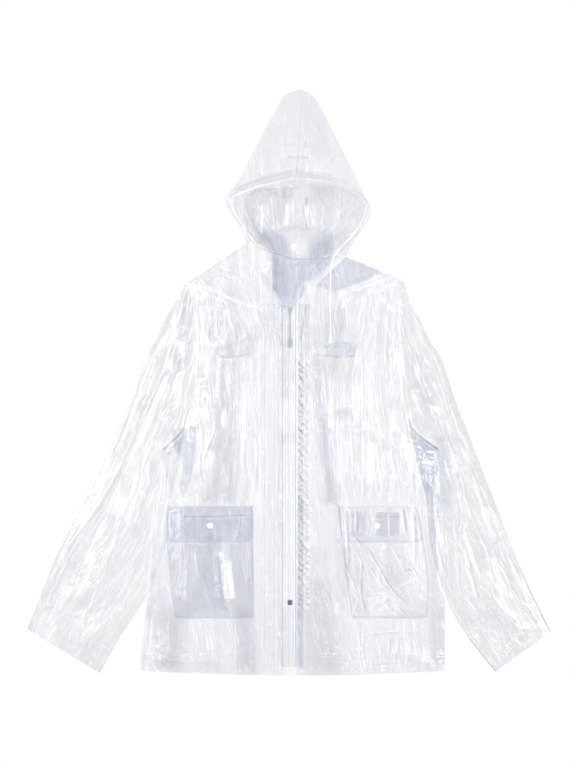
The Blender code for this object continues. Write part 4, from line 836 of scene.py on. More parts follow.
FRONT_LINES = (
    (1.2, 0.8, 1.6, (200, 380), (198, 410), (202, 440), (199, 470), (204, 490)),
    (0.9, 0.7, 1.2, (203, 400), (208, 412), (204, 424)),
    (1.0, 0.8, 1.4, (206, 385), (212, 410), (214, 428), (208, 446), (202, 462)),
    (0.9, 0.7, 1.2, (202, 430), (210, 436), (206, 448)),
    (0.9, 0.5, 1.3, (362, 345), (362.5, 420), (363, 505)),
    (0.9, 0.5, 1.3, (404, 418), (409, 460), (414, 503)), (0.8, 0.5, 1.6, (250, 428), (275, 433), (300, 431)),
    (0.6, 0.4, 1.5, (345, 432), (375, 430), (400, 432)), (0.6, 0.5, 1.2, (240, 380), (252, 400), (258, 430)),
    (0.6, 0.5, 1.2, (262, 390), (256, 420), (262, 450)), (0.5, 0.5, 1.1, (246, 470), (262, 478), (278, 474)),
    (0.5, 0.5, 1.1, (248, 452), (258, 462), (272, 466)), (0.6, 0.5, 1.2, (372, 300), (376, 330), (374, 360)),
    (0.6, 0.5, 1.2, (384, 310), (386, 345), (382, 380)), (0.6, 0.5, 1.2, (352, 380), (356, 400), (350, 424)),
    (0.6, 0.5, 1.2, (378, 440), (374, 470), (380, 500)),
    (0.9, 0.9, 1.5, (368, 634), (385, 632), (402, 632), (423, 631)),
    (0.8, 0.8, 1.4, (372, 616), (377, 624), (386, 631)), (0.7, 0.7, 1.3, (390, 640), (388, 650), (386, 664)),
    (0.7, 0.7, 1.3, (398, 642), (395, 655), (394, 668)), (0.8, 0.7, 1.4, (346, 648), (351, 656), (347, 664)),
    (0.9, 0.6, 1.5, (335, 658.5), (344, 659), (352, 658)),
    (0.7, 0.6, 1.3, (358, 620), (359, 645), (360, 668)), (0.8, 0.7, 1.4, (341, 565), (346, 580), (352, 600)),
    (0.6, 0.6, 1.2, (196, 620), (220, 622), (248, 619)), (0.7, 0.6, 1.2, (150, 655), (170, 660), (190, 658)),
    (0.4, 0.4, 1.1, (190, 284), (198.8, 321), (196.4, 378), (197, 428), (200, 475)),
    (0.8, 0.6, 1.2, (206.8, 316), (208.4, 340), (206.8, 372), (213, 404), (214.8, 428), (206.8, 449),
     (200, 473)), (0.7, 0.6, 1.1, (203, 372), (206, 386), (203, 402)),
    (0.7, 0.6, 1.1, (208, 384), (211, 400), (206, 418)), (0.7, 0.6, 1.1, (212, 408), (207, 425), (211, 441)),
    (0.7, 0.6, 1.1, (204, 420), (202, 440), (206, 456)), (0.6, 0.6, 1.1, (199, 430), (202, 446), (198, 462)),
    (0.6, 0.6, 1.1, (208, 448), (203, 462), (201, 475)), (0.5, 0.5, 1.1, (199, 380), (202, 396), (199, 412)),
    (0.5, 0.4, 1.0, (199, 404), (206, 412), (213, 414)), (0.5, 0.4, 1.0, (200, 436), (207, 432), (214, 434)),
    (0.5, 0.4, 1.0, (204, 312), (204, 335), (202, 352)),
    (0.6, 0.5, 1.2, (394, 305), (402, 348), (402, 404), (405, 428), (416, 507)),
    (0.9, 0.7, 1.2, (406, 425), (414, 433), (424, 430)), (0.9, 0.7, 1.1, (409, 440), (418, 446), (431, 441)),
    (0.9, 0.7, 1.1, (408, 452), (419, 458), (432, 455)), (0.8, 0.7, 1.1, (412, 463), (422, 468), (434, 464)),
    (0.8, 0.7, 1.1, (416, 428), (412, 446), (417, 466)), (0.8, 0.7, 1.1, (427, 430), (423, 448), (428, 467)),
    (0.6, 0.5, 1.0, (405, 418), (412, 424), (420, 422)), (0.6, 0.5, 1.0, (411, 471), (420, 478), (424, 492)),
    (0.7, 0.4, 0.9, (361.2, 375), (361.4, 420), (361.5, 503)),
    (0.7, 0.4, 0.9, (365.2, 375), (365.5, 430), (365.5, 503)),
    (0.7, 0.4, 1.0, (363, 622), (362.5, 650), (362, 672)),
    (0.4, 0.3, 1.0, (358, 290), (359.5, 330), (361, 372)),
    (0.3, 0.3, 1.0, (168, 430.5), (215, 430), (281, 430.5)),
    (0.4, 0.3, 1.0, (310, 430.5), (380, 430), (441, 430.5)),
    (0.9, 0.3, 1.0, (164.5, 440), (161, 483), (158, 505)),
    (0.6, 0.4, 1.0, (168, 440), (165.5, 480), (162, 505)),
    (0.5, 0.2, 5.5, (196, 282), (216, 291), (240, 302), (268, 312)),
    (1.0, 0.6, 1.3, (196, 282), (216, 290), (229, 298), (242, 302), (266, 311)),
    (0.8, 0.4, 1.0, (225, 298), (231, 318), (236, 345)),
    (0.7, 0.4, 1.0, (229.6, 300), (236, 318), (240, 338)),
    (0.8, 0.4, 1.1, (236, 302), (247, 320), (253, 342)), (0.7, 0.4, 1.0, (247, 306), (257, 320), (266, 336)),
    (0.6, 0.4, 1.0, (265, 294), (247, 287), (219, 283)), (0.6, 0.4, 1.0, (247, 275), (230, 279), (207, 290)),
    (0.6, 0.4, 1.0, (206, 262), (226, 268), (248, 278)), (0.5, 0.3, 1.0, (214, 272), (236, 280), (258, 300)),
    (0.6, 0.3, 1.0, (222, 256), (238, 262), (252, 270)), (0.5, 0.3, 1.0, (240, 286), (252, 296), (270, 304)),
    (0.6, 0.4, 1.0, (212, 297), (216, 315), (216, 340)), (0.5, 0.4, 1.0, (204, 292), (208, 306), (212, 322)),
    (0.6, 0.3, 1.0, (241, 324), (247, 336), (256, 343)), (0.5, 0.3, 1.0, (262, 312), (266, 328), (270, 350)),
    (0.9, 0.5, 1.4, (390, 272), (360, 284), (334, 292.5)),
    (0.5, 0.2, 5.0, (392, 276), (362, 288), (336, 296)), (0.6, 0.4, 1.0, (372, 292), (369, 318), (374, 345)),
    (0.6, 0.4, 1.0, (384, 288), (388, 318), (385, 345)), (0.6, 0.4, 1.0, (396, 300), (394, 325), (398, 350)),
    (0.6, 0.4, 1.0, (350, 296), (346, 315), (350, 335)), (0.6, 0.4, 1.0, (346, 292), (338, 304), (334, 325)),
    (0.5, 0.3, 1.0, (378, 284), (379, 305), (376, 330)), (0.5, 0.3, 1.0, (366, 296), (364, 312), (366, 340)),
    (0.5, 0.3, 1.0, (402, 308), (400, 328), (404, 352)), (0.6, 0.4, 1.0, (372, 350), (374, 380), (371, 412)),
    (0.6, 0.4, 1.0, (380, 440), (384, 470), (380, 502)), (0.6, 0.4, 1.0, (390, 350), (394, 400), (398, 440)),
    (0.6, 0.4, 1.0, (403, 430), (408, 460), (412, 500)), (0.6, 0.4, 1.0, (352, 440), (348, 470), (352, 502)),
    (0.5, 0.3, 1.0, (370, 442), (372, 470), (370, 503)), (0.6, 0.4, 1.0, (372, 438), (384, 468), (400, 503)),
    (0.5, 0.3, 1.0, (382, 356), (380, 384), (384, 420)), (0.5, 0.3, 1.0, (390, 448), (394, 476), (392, 504)),
    (0.5, 0.3, 1.0, (354, 366), (352, 384), (355, 404)), (0.5, 0.3, 1.2, (329, 400), (340, 394), (353, 396)),
    (0.0, 0.6, 1.8, (333, 412), (344, 413), (354, 409)),
    (0.6, 0.3, 1.4, (336.8, 359), (337, 400), (337.5, 450), (338, 503)),
    (0.4, 0.5, 1.6, (326, 420), (330, 460), (333, 503)),
    (0.6, 0.3, 1.3, (237, 359), (237.2, 400), (237, 445), (234, 503)),
    (0.3, 0.5, 1.4, (213, 360), (214, 400), (216, 430)), (0.5, 0.4, 1.0, (246, 364), (249, 395), (247, 440)),
    (0.5, 0.3, 1.0, (258, 372), (262, 398), (260, 425)), (0.5, 0.3, 0.9, (244, 364), (251, 371), (257, 381)),
    (0.5, 0.3, 0.9, (262, 362), (268, 372), (271, 386)), (0.5, 0.3, 0.9, (269, 378), (259, 391), (251, 405)),
    (0.4, 0.3, 0.9, (256, 400), (266, 404), (276, 409)), (0.4, 0.3, 0.9, (240, 380), (247, 392), (252, 410)),
    (0.4, 0.3, 0.9, (243, 420), (256, 424), (272, 422)), (0.5, 0.3, 1.0, (252, 436), (256, 462), (252, 500)),
    (0.4, 0.3, 1.0, (266, 434), (266, 468), (268, 502)), (0.4, 0.3, 1.0, (224, 440), (228, 470), (226, 503)),
    (0.5, 0.4, 1.0, (218, 470), (212, 486), (204, 502)),
    (0.4, 0.4, 1.0, (143, 653), (200, 656), (240, 657), (276, 657)),
    (0.3, 0.4, 1.0, (142, 659), (200, 662), (276, 664)),
    (0.4, 0.4, 1.0, (300, 657), (340, 657), (400, 655), (444, 652)),
    (0.3, 0.4, 1.0, (300, 664), (350, 664), (400, 662), (445, 659)),
    (0.8, 0.6, 1.1, (143, 646), (150, 652), (158, 662)), (0.8, 0.6, 1.1, (152, 648), (162, 655), (170, 666)),
    (0.7, 0.6, 1.1, (165, 652), (178, 659), (190, 667)), (0.7, 0.5, 1.1, (176, 648), (190, 656), (206, 660)),
    (0.7, 0.5, 1.1, (146, 664), (158, 658), (172, 655)), (0.6, 0.5, 1.0, (186, 664), (198, 659), (214, 657)),
    (0.9, 0.6, 1.2, (338, 650), (350, 658), (366, 668)), (0.8, 0.6, 1.1, (352, 648), (360, 660), (374, 666)),
    (0.8, 0.6, 1.1, (344, 668), (356, 660), (368, 654)), (0.7, 0.5, 1.1, (376, 652), (386, 660), (398, 668)),
    (0.7, 0.5, 1.1, (400, 650), (414, 658), (430, 664)), (0.7, 0.5, 1.1, (436, 648), (440, 658), (444, 667)),
    (0.6, 0.4, 0.9, (388, 636), (389, 652), (388, 668)), (0.6, 0.4, 0.9, (397, 636), (398, 652), (400, 668)),
    (0.6, 0.4, 0.9, (405, 636), (407, 652), (406, 668)), (0.5, 0.4, 0.9, (414, 640), (415, 654), (414, 666)),
    (0.7, 0.4, 1.1, (235.5, 618), (235.6, 645), (235.5, 673)),
    (0.4, 0.3, 1.0, (251, 620), (252, 645), (250, 672)), (0.5, 0.3, 1.0, (345, 508), (343, 560), (346, 620)),
    (0.5, 0.3, 1.0, (258, 500), (259, 560), (258, 640)),
    (0.5, 0.4, 1.0, (213, 356), (235, 357.5), (254, 355)),
    (0.0, 0.9, 1.4, (213.5, 354), (225, 357), (240, 356), (254, 353)),
    (0.0, 0.9, 1.4, (313, 354), (330, 356.5), (345, 357), (357, 355)),
    (0.6, 0.6, 1.2, (327, 352), (336, 345), (346, 350), (356, 345)),
    (0.4, 0.4, 1.2, (218, 354), (217, 338), (220, 322)), (0.4, 0.4, 1.2, (226, 355), (228, 338), (224, 322)),
    (0.4, 0.4, 1.2, (238, 353), (240, 338), (237, 324)), (0.4, 0.4, 1.2, (318, 350), (316, 330), (320, 308)),
    (0.4, 0.4, 1.2, (326, 350), (325, 330), (329, 312)), (0.4, 0.3, 1.2, (340, 342), (338, 325), (342, 310)))
SLEEVE_LINES = (
    (1.3, 0.0, 3.4, (409.5, 408), (411.5, 423), (419, 433), (429, 440), (440, 448)),
    (1.3, 0.0, 3.4, (185, 428), (181, 437), (174, 443), (166, 449)),
    (0.9, 0.4, 1.2, (394, 300), (402, 350), (408, 400), (414, 430)),
    (0.7, 0.5, 1.1, (404, 330), (420, 380), (440, 430)), (0.6, 0.5, 1.1, (410, 340), (428, 390), (446, 436)),
    (0.9, 0.4, 1.0, (186, 284), (173, 356), (166.5, 424)),
    (0.5, 0.4, 1.0, (182, 292), (170, 356), (163, 420)),
    (0.4, 0.9, 1.8, (186, 295), (162, 375), (130, 444), (103, 498), (78, 533), (62, 557), (45, 600)),
    (0.6, 0.4, 1.1, (178, 366), (165, 400), (152, 440)), (0.6, 0.4, 1.1, (160, 420), (150, 450), (140, 472)),
    (0.6, 0.4, 1.1, (152, 400), (140, 430), (132, 456)), (0.6, 0.4, 1.1, (150, 466), (138, 495), (128, 524)),
    (0.5, 0.4, 1.1, (140, 500), (125, 530), (112, 560)), (0.6, 0.4, 1.1, (118, 536), (104, 565), (94, 592)),
    (0.6, 0.4, 1.1, (95, 556), (84, 585), (72, 612)), (0.5, 0.4, 1.1, (112, 572), (100, 600), (92, 626)),
    (0.5, 0.4, 1.1, (130, 524), (120, 556), (106, 592)), (0.5, 0.3, 1.1, (184, 320), (180, 350), (172, 380)),
    (0.4, 0.3, 1.0, (120, 500), (130, 504), (140, 500)), (0.4, 0.3, 1.0, (100, 544), (110, 552), (122, 553)),
    (0.5, 0.4, 1.0, (76, 584), (88, 591), (100, 592)), (0.5, 0.4, 1.0, (58, 600), (70, 613), (86, 618)),
    (0.4, 0.3, 1.0, (156, 452), (148, 480), (146, 500)), (0.4, 0.3, 1.0, (172, 400), (164, 424), (160, 440)),
    (0.0, 0.7, 1.2, (40.5, 604.5), (66, 613), (93, 623)),
    (0.3, 0.4, 1.0, (32.5, 627), (46, 634), (59.6, 642)), (0.5, 0.4, 1.0, (32, 620), (66, 638), (102, 660)),
    (0.4, 0.4, 1.0, (29.5, 626), (64, 645), (100, 667)), (0.7, 0.5, 1.0, (46, 612), (54, 622), (58, 634)),
    (0.6, 0.5, 1.0, (66, 622), (76, 634), (84, 650)),
    (1.0, 0.7, 1.5, (436, 410), (446.7, 440), (460, 473), (466.7, 507), (478, 533), (488, 557),
     (493.3, 598), (496.7, 623)), (0.6, 0.4, 1.1, (441, 505), (447, 540), (451, 600)),
    (0.3, 1.0, 2.0, (463, 540), (470, 570), (478, 602)),
    (0.8, 0.5, 1.2, (401, 293), (405, 343), (421, 385), (443.6, 441)),
    (0.5, 0.4, 1.1, (412, 310), (424, 350), (440, 395), (450, 430)),
    (0.5, 0.3, 1.1, (428, 346), (440, 385), (456, 422)), (0.5, 0.4, 1.1, (456, 436), (474, 480), (490, 522)),
    (0.5, 0.4, 1.1, (466, 450), (482, 490), (500, 532)), (0.6, 0.4, 1.1, (500, 556), (512, 590), (524, 622)),
    (0.6, 0.4, 1.1, (450, 470), (456, 500), (458, 532)), (0.5, 0.4, 1.1, (454, 560), (462, 600), (476, 640)),
    (0.5, 0.4, 1.1, (484, 540), (494, 570), (506, 600)), (0.5, 0.4, 1.1, (512, 560), (520, 585), (532, 610)),
    (0.6, 0.5, 1.1, (462, 480), (474, 486), (486, 484)), (0.6, 0.5, 1.1, (470, 510), (482, 516), (494, 512)),
    (0.6, 0.5, 1.1, (478, 536), (490, 545), (504, 544)), (0.5, 0.4, 1.0, (490, 580), (500, 590), (512, 592)),
    (0.5, 0.4, 1.0, (492, 662), (520, 647), (547, 625)), (0.4, 0.4, 1.0, (489, 655), (516, 640), (543, 618)),
    (0.7, 0.5, 1.1, (498, 618), (508, 628), (514, 642)), (0.7, 0.5, 1.1, (520, 606), (530, 618), (536, 630)),
    (0.4, 0.3, 1.1, (416, 400), (424, 430), (440, 450)), (0.4, 0.3, 1.1, (446, 420), (452, 440), (462, 452)))
HOOD_LINES = (
    (0.0, 2.2, 1.1, (332, 182.5), (344, 186), (354, 191), (366, 203)),
    (1.0, 0.4, 0.9, (279, 149), (286, 148), (291, 148.5)),
    (1.0, 0.4, 0.9, (305, 148.3), (309, 149), (313, 149.8)),
    (0.9, 0.3, 0.9, (305, 152), (309, 151.5), (313, 149.8)),
    (0.0, 0.3, 0.9, (268, 150.5), (285, 149.8), (304, 150.3)),
    (0.0, 0.8, 1.0, (287, 157.5), (298, 157.2), (308, 158)),
    (0.8, 0.6, 1.0, (295, 167), (299.5, 164), (304, 168)),
    (0.0, 0.6, 1.0, (289, 172), (296, 168.5), (303, 172)),
    (0.6, 0.0, 1.0, (303.6, 116), (302, 140), (300.5, 168)),
    (0.4, 0.3, 1.1, (237, 190), (258, 183), (282, 178)), (0.3, 0.3, 1.0, (318, 178), (338, 181), (356, 190)))
FACE_LINES = (
    (0.0, 0.6, 2.6, (248.4, 197), (256, 191), (266, 190), (273, 193), (280, 195)),
    (0.0, 0.4, 3.4, (268, 189), (276, 188)), (0.5, 0.6, 1.0, (284, 186), (292, 189), (300, 186), (308, 190)),
    (0.0, 0.6, 3.4, (252, 206), (257, 214), (262, 228)), (0.0, 0.5, 3.2, (280, 200), (281, 212), (281, 226)),
    (0.6, 0.7, 1.0, (250, 191), (260, 187.5), (270, 190), (276, 187)),
    (0.5, 0.7, 1.0, (262, 196), (270, 193), (281, 190), (288, 191)),
    (1.0, 0.7, 1.3, (270.5, 195), (273.3, 212), (274.7, 232)),
    (0.9, 0.7, 1.3, (308.5, 188), (310, 206), (314.5, 228)),
    (0.5, 0.0, 4.0, (292.5, 198), (293, 211), (293, 224)),
    (0.6, 0.4, 1.6, (288, 199), (289, 210), (288, 222)),
    (0.0, 1.0, 1.8, (306.3, 195), (307, 213), (307.5, 232)),
    (0.0, 0.7, 1.6, (277.5, 197), (278, 212), (278, 224)),
    (0.6, 0.4, 1.0, (297.5, 185), (298, 200), (297, 226)),
    (0.5, 0.5, 1.0, (301, 188), (302, 205), (303, 224)), (0.7, 0.6, 1.0, (252, 203), (262, 218), (270, 232)),
    (0.6, 0.6, 1.0, (256, 201), (265, 214), (272, 226)), (0.6, 0.6, 1.0, (249, 210), (256, 222), (264, 234)),
    (0.6, 0.5, 1.0, (260, 199), (266, 210), (270, 220)), (0.5, 0.5, 1.0, (246, 216), (253, 226), (260, 238)),
    (0.8, 0.6, 1.0, (334, 195), (340, 206), (344, 216)), (0.8, 0.6, 1.0, (340, 194), (347, 204), (353, 215)),
    (0.8, 0.6, 1.0, (348, 196), (355, 206), (361, 214)), (0.6, 0.5, 1.0, (326, 198), (332, 210), (338, 223)),
    (0.6, 0.5, 1.0, (318, 196), (322, 210), (328, 225)), (0.7, 0.5, 1.0, (337, 213), (345, 209), (356, 210)),
    (0.6, 0.5, 1.0, (342, 222), (350, 214), (360, 204)),
    (0.6, 0.4, 1.1, (314, 228), (319, 233), (323, 229), (327, 221)),
    (0.6, 0.4, 1.0, (330, 244), (338, 232), (342, 222)),
    (0.0, 1.0, 2.4, (246.7, 195), (247.6, 211.6), (255, 223)),
    (0.0, 0.9, 1.3, (333.8, 187), (346, 191.5), (360, 198.5)),
    (0.5, 0.3, 1.0, (336, 228), (334, 238), (330, 250)), (0.5, 0.3, 1.0, (352, 220), (346, 232), (338, 244)),
    (0.0, 0.6, 2.4, (316, 186), (322, 200), (330, 212)))
POCKET_LINES = (
    (0.0, 1.0, 1.0, (168, 516), (210, 516.3), (254, 515)),
    (0.5, 0.0, 1.0, (168, 518), (210, 518.3), (254, 517)),
    (0.7, 0.5, 1.0, (210, 528), (202, 540), (194, 552)), (0.7, 0.5, 0.9, (208, 530), (198, 537), (188, 543)),
    (0.6, 0.5, 0.9, (211, 530), (207, 544), (204, 560)), (0.5, 0.4, 0.9, (207, 527), (196, 530), (186, 532)),
    (0.5, 0.4, 0.9, (212, 529), (213, 540), (212, 552)),
    (0.9, 0.5, 0.9, (222.6, 549), (221.5, 561), (223.8, 590), (228, 606)),
    (0.5, 0.4, 1.0, (244, 545), (248, 570), (246, 600)), (0.4, 0.3, 1.0, (180, 560), (184, 580), (192, 600)),
    (0.7, 0.3, 1.0, (230.5, 507), (231, 514), (230, 523)),
    (0.6, 0.5, 1.0, (172, 616.5), (210, 617), (250, 615.5)),
    (1.0, 1.2, 1.7, (367, 549), (379, 569), (388.7, 586), (402.6, 600), (413, 604)),
    (0.9, 0.7, 1.5, (369, 566), (380, 583), (399, 598)), (0.9, 0.7, 2.2, (344, 508), (346, 540), (347, 566)),
    (0.8, 0.7, 2.0, (355, 508), (355.5, 520), (355, 532)),
    (0.9, 0.8, 2.4, (412, 510), (413.5, 540), (413, 565)),
    (0.9, 0.8, 2.2, (401, 508), (403, 522), (404, 534)), (0.7, 0.9, 1.5, (402, 569), (410, 568), (417, 569)),
    (0.9, 0.6, 1.6, (369, 594), (384, 593), (400, 600)), (0.5, 0.9, 1.8, (361, 560), (360, 590), (364, 612)),
    (0.8, 0.8, 1.6, (397, 606), (402, 612), (408, 617)), (0.7, 0.8, 1.4, (352, 534), (358, 542), (366, 552)),
    (0.9, 0.7, 1.4, (344, 564), (350, 577), (356, 591)), (0.8, 0.6, 1.3, (350, 545), (359, 558), (364, 578)),
    (0.8, 0.6, 1.3, (392, 546), (400, 564), (413, 580)), (0.8, 0.6, 1.2, (380, 598), (392, 611), (407, 619)),
    (0.7, 0.5, 1.2, (402, 558), (414, 571), (420, 590)), (0.7, 0.6, 1.1, (355, 594), (364, 606), (379, 613)),
    (0.7, 0.6, 1.2, (374, 545), (384, 552), (398, 552)), (0.7, 0.6, 1.2, (388, 560), (380, 572), (376, 586)),
    (0.8, 0.6, 1.2, (396, 590), (408, 582), (420, 580)), (0.6, 0.5, 1.1, (414, 545), (408, 556), (406, 570)),
    (0.6, 0.5, 1.1, (358, 600), (354, 610), (352, 617)), (0.6, 0.5, 1.1, (340, 596), (346, 606), (350, 616)),
    (0.9, 0.4, 1.1, (342, 508), (343, 540), (346, 600), (348, 616)),
    (0.7, 0.5, 1.1, (372, 606), (384, 600), (392, 590)))
FLAP_LINES = (
    (1.0, 0.6, 1.2, (349, 507), (351, 522), (349, 537)), (0.9, 0.7, 1.2, (356, 512), (362, 524), (358, 538)),
    (0.9, 0.7, 1.1, (362, 512), (369, 522), (366, 537)), (0.8, 0.7, 1.1, (370, 508), (374, 520), (371, 536)),
    (0.8, 0.6, 1.1, (354, 526), (362, 520), (372, 524)), (0.7, 0.6, 1.1, (356, 533), (366, 530), (374, 534)),
    (0.9, 0.3, 1.1, (388.5, 509), (388, 522), (389, 537)),
    (0.9, 0.5, 1.1, (399, 508), (401, 522), (399.5, 537)),
    (0.7, 0.5, 1.0, (406, 508), (408, 522), (406, 537)),
    (0.0, 0.8, 1.0, (338, 516), (376, 516.5), (414, 516)),
    (0.6, 0.4, 1.0, (378, 509), (377, 522), (378.5, 536)))
FRONT_CLING = (
    (1.3, 4, (170, 427), (197.5, 425), (195, 453), (192, 475), (183, 496), (180, 489), (183, 467),
     (174, 446)), (0.60, 4, (213.5, 348), (232, 343), (234, 357), (215, 359)),
    (0.45, 6, (226, 340), (240, 318), (256, 338), (254, 357), (228, 358)),
    (0.22, 6, (165, 503), (176, 503), (178, 663), (163, 663)),
    (0.45, 4, (334, 503), (343, 503), (349, 617), (336, 600)),
    (0.25, 10, (305, 546), (329, 546), (332, 667), (305, 667)),
    (0.22, 7, (318, 400), (330, 400), (340, 503), (326, 503)),
    (0.25, 6, (236, 440), (244, 440), (236, 503), (226, 503)),
    (0.25, 8, (234, 612), (254, 612), (256, 670), (236, 670)),
    (0.32, 8, (313, 330), (327, 318), (345, 312), (356, 345), (356, 354), (313, 354)),
    (0.75, 4, (324, 346), (340, 341), (356, 345), (357, 357), (326, 357)),
    (0.3, 6, (326, 310), (342, 306), (350, 326), (332, 338)),
    (1.15, 5, (319.5, 270), (333.8, 261), (344.4, 257.8), (376, 268.4), (380, 271), (369, 279),
     (344.4, 288), (335.5, 292.4), (319.5, 286), (309, 284)),
    (0.35, 4, (324, 425), (333, 425), (335, 503), (327, 503)),
    (0.15, 7, (232, 400), (238, 440), (234, 503), (226, 503)),
    (0.55, 8, (414, 439), (436, 436), (446, 480), (446, 505), (428, 500)),
    (0.25, 8, (283, 610), (302, 610), (303, 667), (283, 667)),
    (0.40, 6, (429, 500), (441, 500), (445, 663), (432, 663)),
    (0.55, 8, (262, 246), (284, 298), (279, 303), (264, 282)),
    (0.20, 8, (235, 560), (254, 560), (254, 667), (236, 667)),
    (0.25, 7, (142, 655), (200, 662), (236, 664), (236, 674), (200, 673), (140, 667)))
# painted shade in patches
FRONT_SHADE = (
    (0.95, 12, (213.5, 359), (236.7, 361), (236.7, 439), (233, 503), (201, 503), (215, 467.5)),
    (0.90, 11, (313, 357), (336, 357), (330, 420), (338, 503), (327, 503), (317, 440)),
    (0.50, 8, (329, 357), (357, 357), (356, 372), (338, 400)),
    (0.6, 4, (336, 409), (352, 408), (353, 419), (336, 420)),
    (1.1, 18, (164, 612), (186, 618), (178, 672), (158, 668)),
    (0.9, 16, (236, 612), (252, 612), (258, 676), (238, 676)),
    (0.9, 18, (310, 580), (332, 580), (344, 676), (310, 676)),
    (0.3, 8, (322, 305), (345, 308), (343, 345), (322, 345)),
    (0.35, 12, (176, 330), (196, 330), (196, 400), (178, 420)),
    (0.35, 9, (425, 500), (446, 500), (446, 660), (430, 660)),
    (0.30, 9, (143, 600), (158, 560), (166, 600), (158, 655)),
    (0.30, 8, (205, 300), (226, 306), (216, 340), (207, 340)),
    (0.35, 8, (258, 309), (281, 318), (281, 345), (250, 340)))
BACK_CLING = (
    (0.30, 2, (256, 259), (334, 259), (319.5, 275.5), (305.3, 283), (303.5, 296), (292, 309), (284, 309),
     (273.3, 290), (272, 262)),
    (0.80, 9, (253, 224), (271.5, 232), (278.7, 231), (286, 240), (293, 256), (306, 256), (312.4, 238),
     (320, 230), (334, 232), (333.8, 259.6), (319.5, 275.5), (305.3, 283), (303.5, 296), (292, 309),
     (284, 309), (273.3, 290), (272.4, 257.8), (266, 240)),
    (0.30, 8, (334, 236), (346, 226), (352, 232), (340, 256)),
    (0.30, 6, (312, 185), (334, 185), (334, 194), (314, 194)))
# painted shade in patches; negative rows are painted highlight
BACK_SHADE = (
    (0.45, 3, (254, 226), (262, 232), (271, 240), (279, 254), (284, 276), (290, 298), (281, 296),
     (272, 276), (266, 256), (258, 242)),
    (0.35, 3, (322, 236), (333, 236), (334, 250), (320, 258), (308, 272), (300, 290), (296, 286),
     (303, 264), (314, 250)),
    (-0.15, 6, (286, 232), (305, 232), (306, 256), (300, 262), (291, 262), (287, 256)),
    (0.5, 6, (255, 232), (278, 232), (287, 244), (284, 300), (274, 290), (270, 258)),
    (0.5, 4, (312, 244), (330, 240), (332, 256), (318, 270), (309, 262)),
    (-0.5, 4, (293, 238), (306, 240), (311, 256), (300, 260), (292, 250)),
    (0.5, 4, (248, 193), (259, 187), (273, 188), (293, 187), (293, 198), (280, 199), (259, 196), (252, 206),
     (256, 222), (250, 222), (246, 205)), (0.35, 7, (308, 184), (336, 186), (334, 199), (316, 203)),
    (0.4, 4, (282, 187), (287.5, 187), (287, 222), (283, 222)),
    (0.5, 5, (242, 214), (262, 226), (270, 240), (258, 246), (246, 232)),
    (0.6, 3, (305, 197), (308, 197), (309, 231), (305, 231)),
    (0.15, 6, (255, 238), (282, 238), (284, 262), (262, 262)),
    (0.1, 6, (308, 238), (334, 236), (334, 262), (310, 262)))

# ---------------------------------------------------------------- body

def body_wrinkles(x, y, seed):
    """Slow waves and the fine crinkle of stored film that no listed crease covers."""
    slow = 0.55 * noise(x / 75 + 3, y / 120 + 5, seed) + 0.30 * noise(x / 30 + 9, y / 70 + 1, seed + 1)
    fine = 0.12 * streaks(x, y, 86, 110, 16, seed + 2) + 0.10 * streaks(x, y, 97, 80, 13, seed + 3)
    cross = 0.08 * streaks(x, y, 12, 70, 18, seed + 4,
                           keep=-0.1) + 0.10 * streaks(x, y, -35, 50, 15, seed + 5, keep=-0.1)
    return slow + fine + cross


# where the painted vein lines are strongest
VEINED = (
    (0.8, 12, (357, 286), (411, 286), (408, 420), (414, 503), (346, 503), (357, 420)),
    (0.7, 12, (200, 282), (268, 300), (276, 345), (204, 345)),
    (0.25, 10, (240, 362), (280, 362), (280, 500), (240, 500)),
    (0.6, 8, (338, 632), (444, 632), (444, 668), (338, 668)),
    (0.6, 8, (142, 640), (200, 645), (200, 668), (141, 668)))
CRUMPLED = (
    (1.0, 10, (199, 375), (206, 375), (213, 405), (214, 430), (205, 450), (200, 474), (197, 430)),
    (1.2, 8, (404, 418), (432, 422), (434, 462), (410, 466)),
    (0.7, 10, (141, 648), (190, 654), (190, 671), (141, 667)),
    (0.7, 10, (335, 654), (444, 648), (444, 669), (335, 672)),
    (0.4, 10, (203, 300), (216, 310), (216, 372), (203, 372)),
    (0.4, 10, (396, 300), (408, 310), (408, 400), (400, 400)))


HEM_TOP, HEM_RISE, HEM_LINE_HALF = -526, 0.35, 1.6  # where the turned hem begins, and its weld lines
HEM_LINES = ((-524, 0.5), (-518, 0.4))  # (y, height)


def free_of_seams(side, x, y):
    """1 inside the front, 0 at every edge of it."""
    edge = x_of(FRONT_EDGE_R if side == "right" else FRONT_EDGE_L, y)
    shoulder = np.where(y > 90, line_distance(x, y, *SHOULDERS[side]), 99.0)
    from_sides = smooth(side_distance(x, y) / 12) * smooth((shoulder - 1) / 10)
    return from_sides * smooth((np.abs(x - edge) - 22) / 14)


def front_height(side, x, y):
    """The middle of the front's wall with all its folds and creases."""
    folds = ridges(x, y, FRONT_FOLDS[side]) * calm(x, y)
    seed = 11 if side == "right" else 41
    own = creases(x, y, FRONT_CREASES[side]) + body_wrinkles(x, y, seed)
    own = own + 0.9 * patch_sum(x, y, CRUMPLED) * (crumple(x, y, 14, seed + 9) - 0.5)
    pocket = smooth((POCKET_TOP + 6 - y) / 8) * smooth((y - POCKET_FOOT + 6) / 8)
    own = np.clip(own, -2.2, 3.2) * free_of_seams(side, x, y) * (1 - 0.6 * pocket)
    hem = HEM_RISE * smooth((HEM_TOP - y) / 3)
    for at, high in HEM_LINES:
        hem = hem + high * np.exp(-(((y - at) / HEM_LINE_HALF) ** 2))
    return front_top(side, x, y) + folds + own + hem


FRONT_GUIDES = {
    "right": (POCKET_SIDE_R, POCKET_INNER_R, FRONT_EDGE_R),
    "left": (POCKET_SIDE_L, POCKET_INNER_L, FRONT_EDGE_L)}
FRONT_COUNTS = (34, 88, 34)


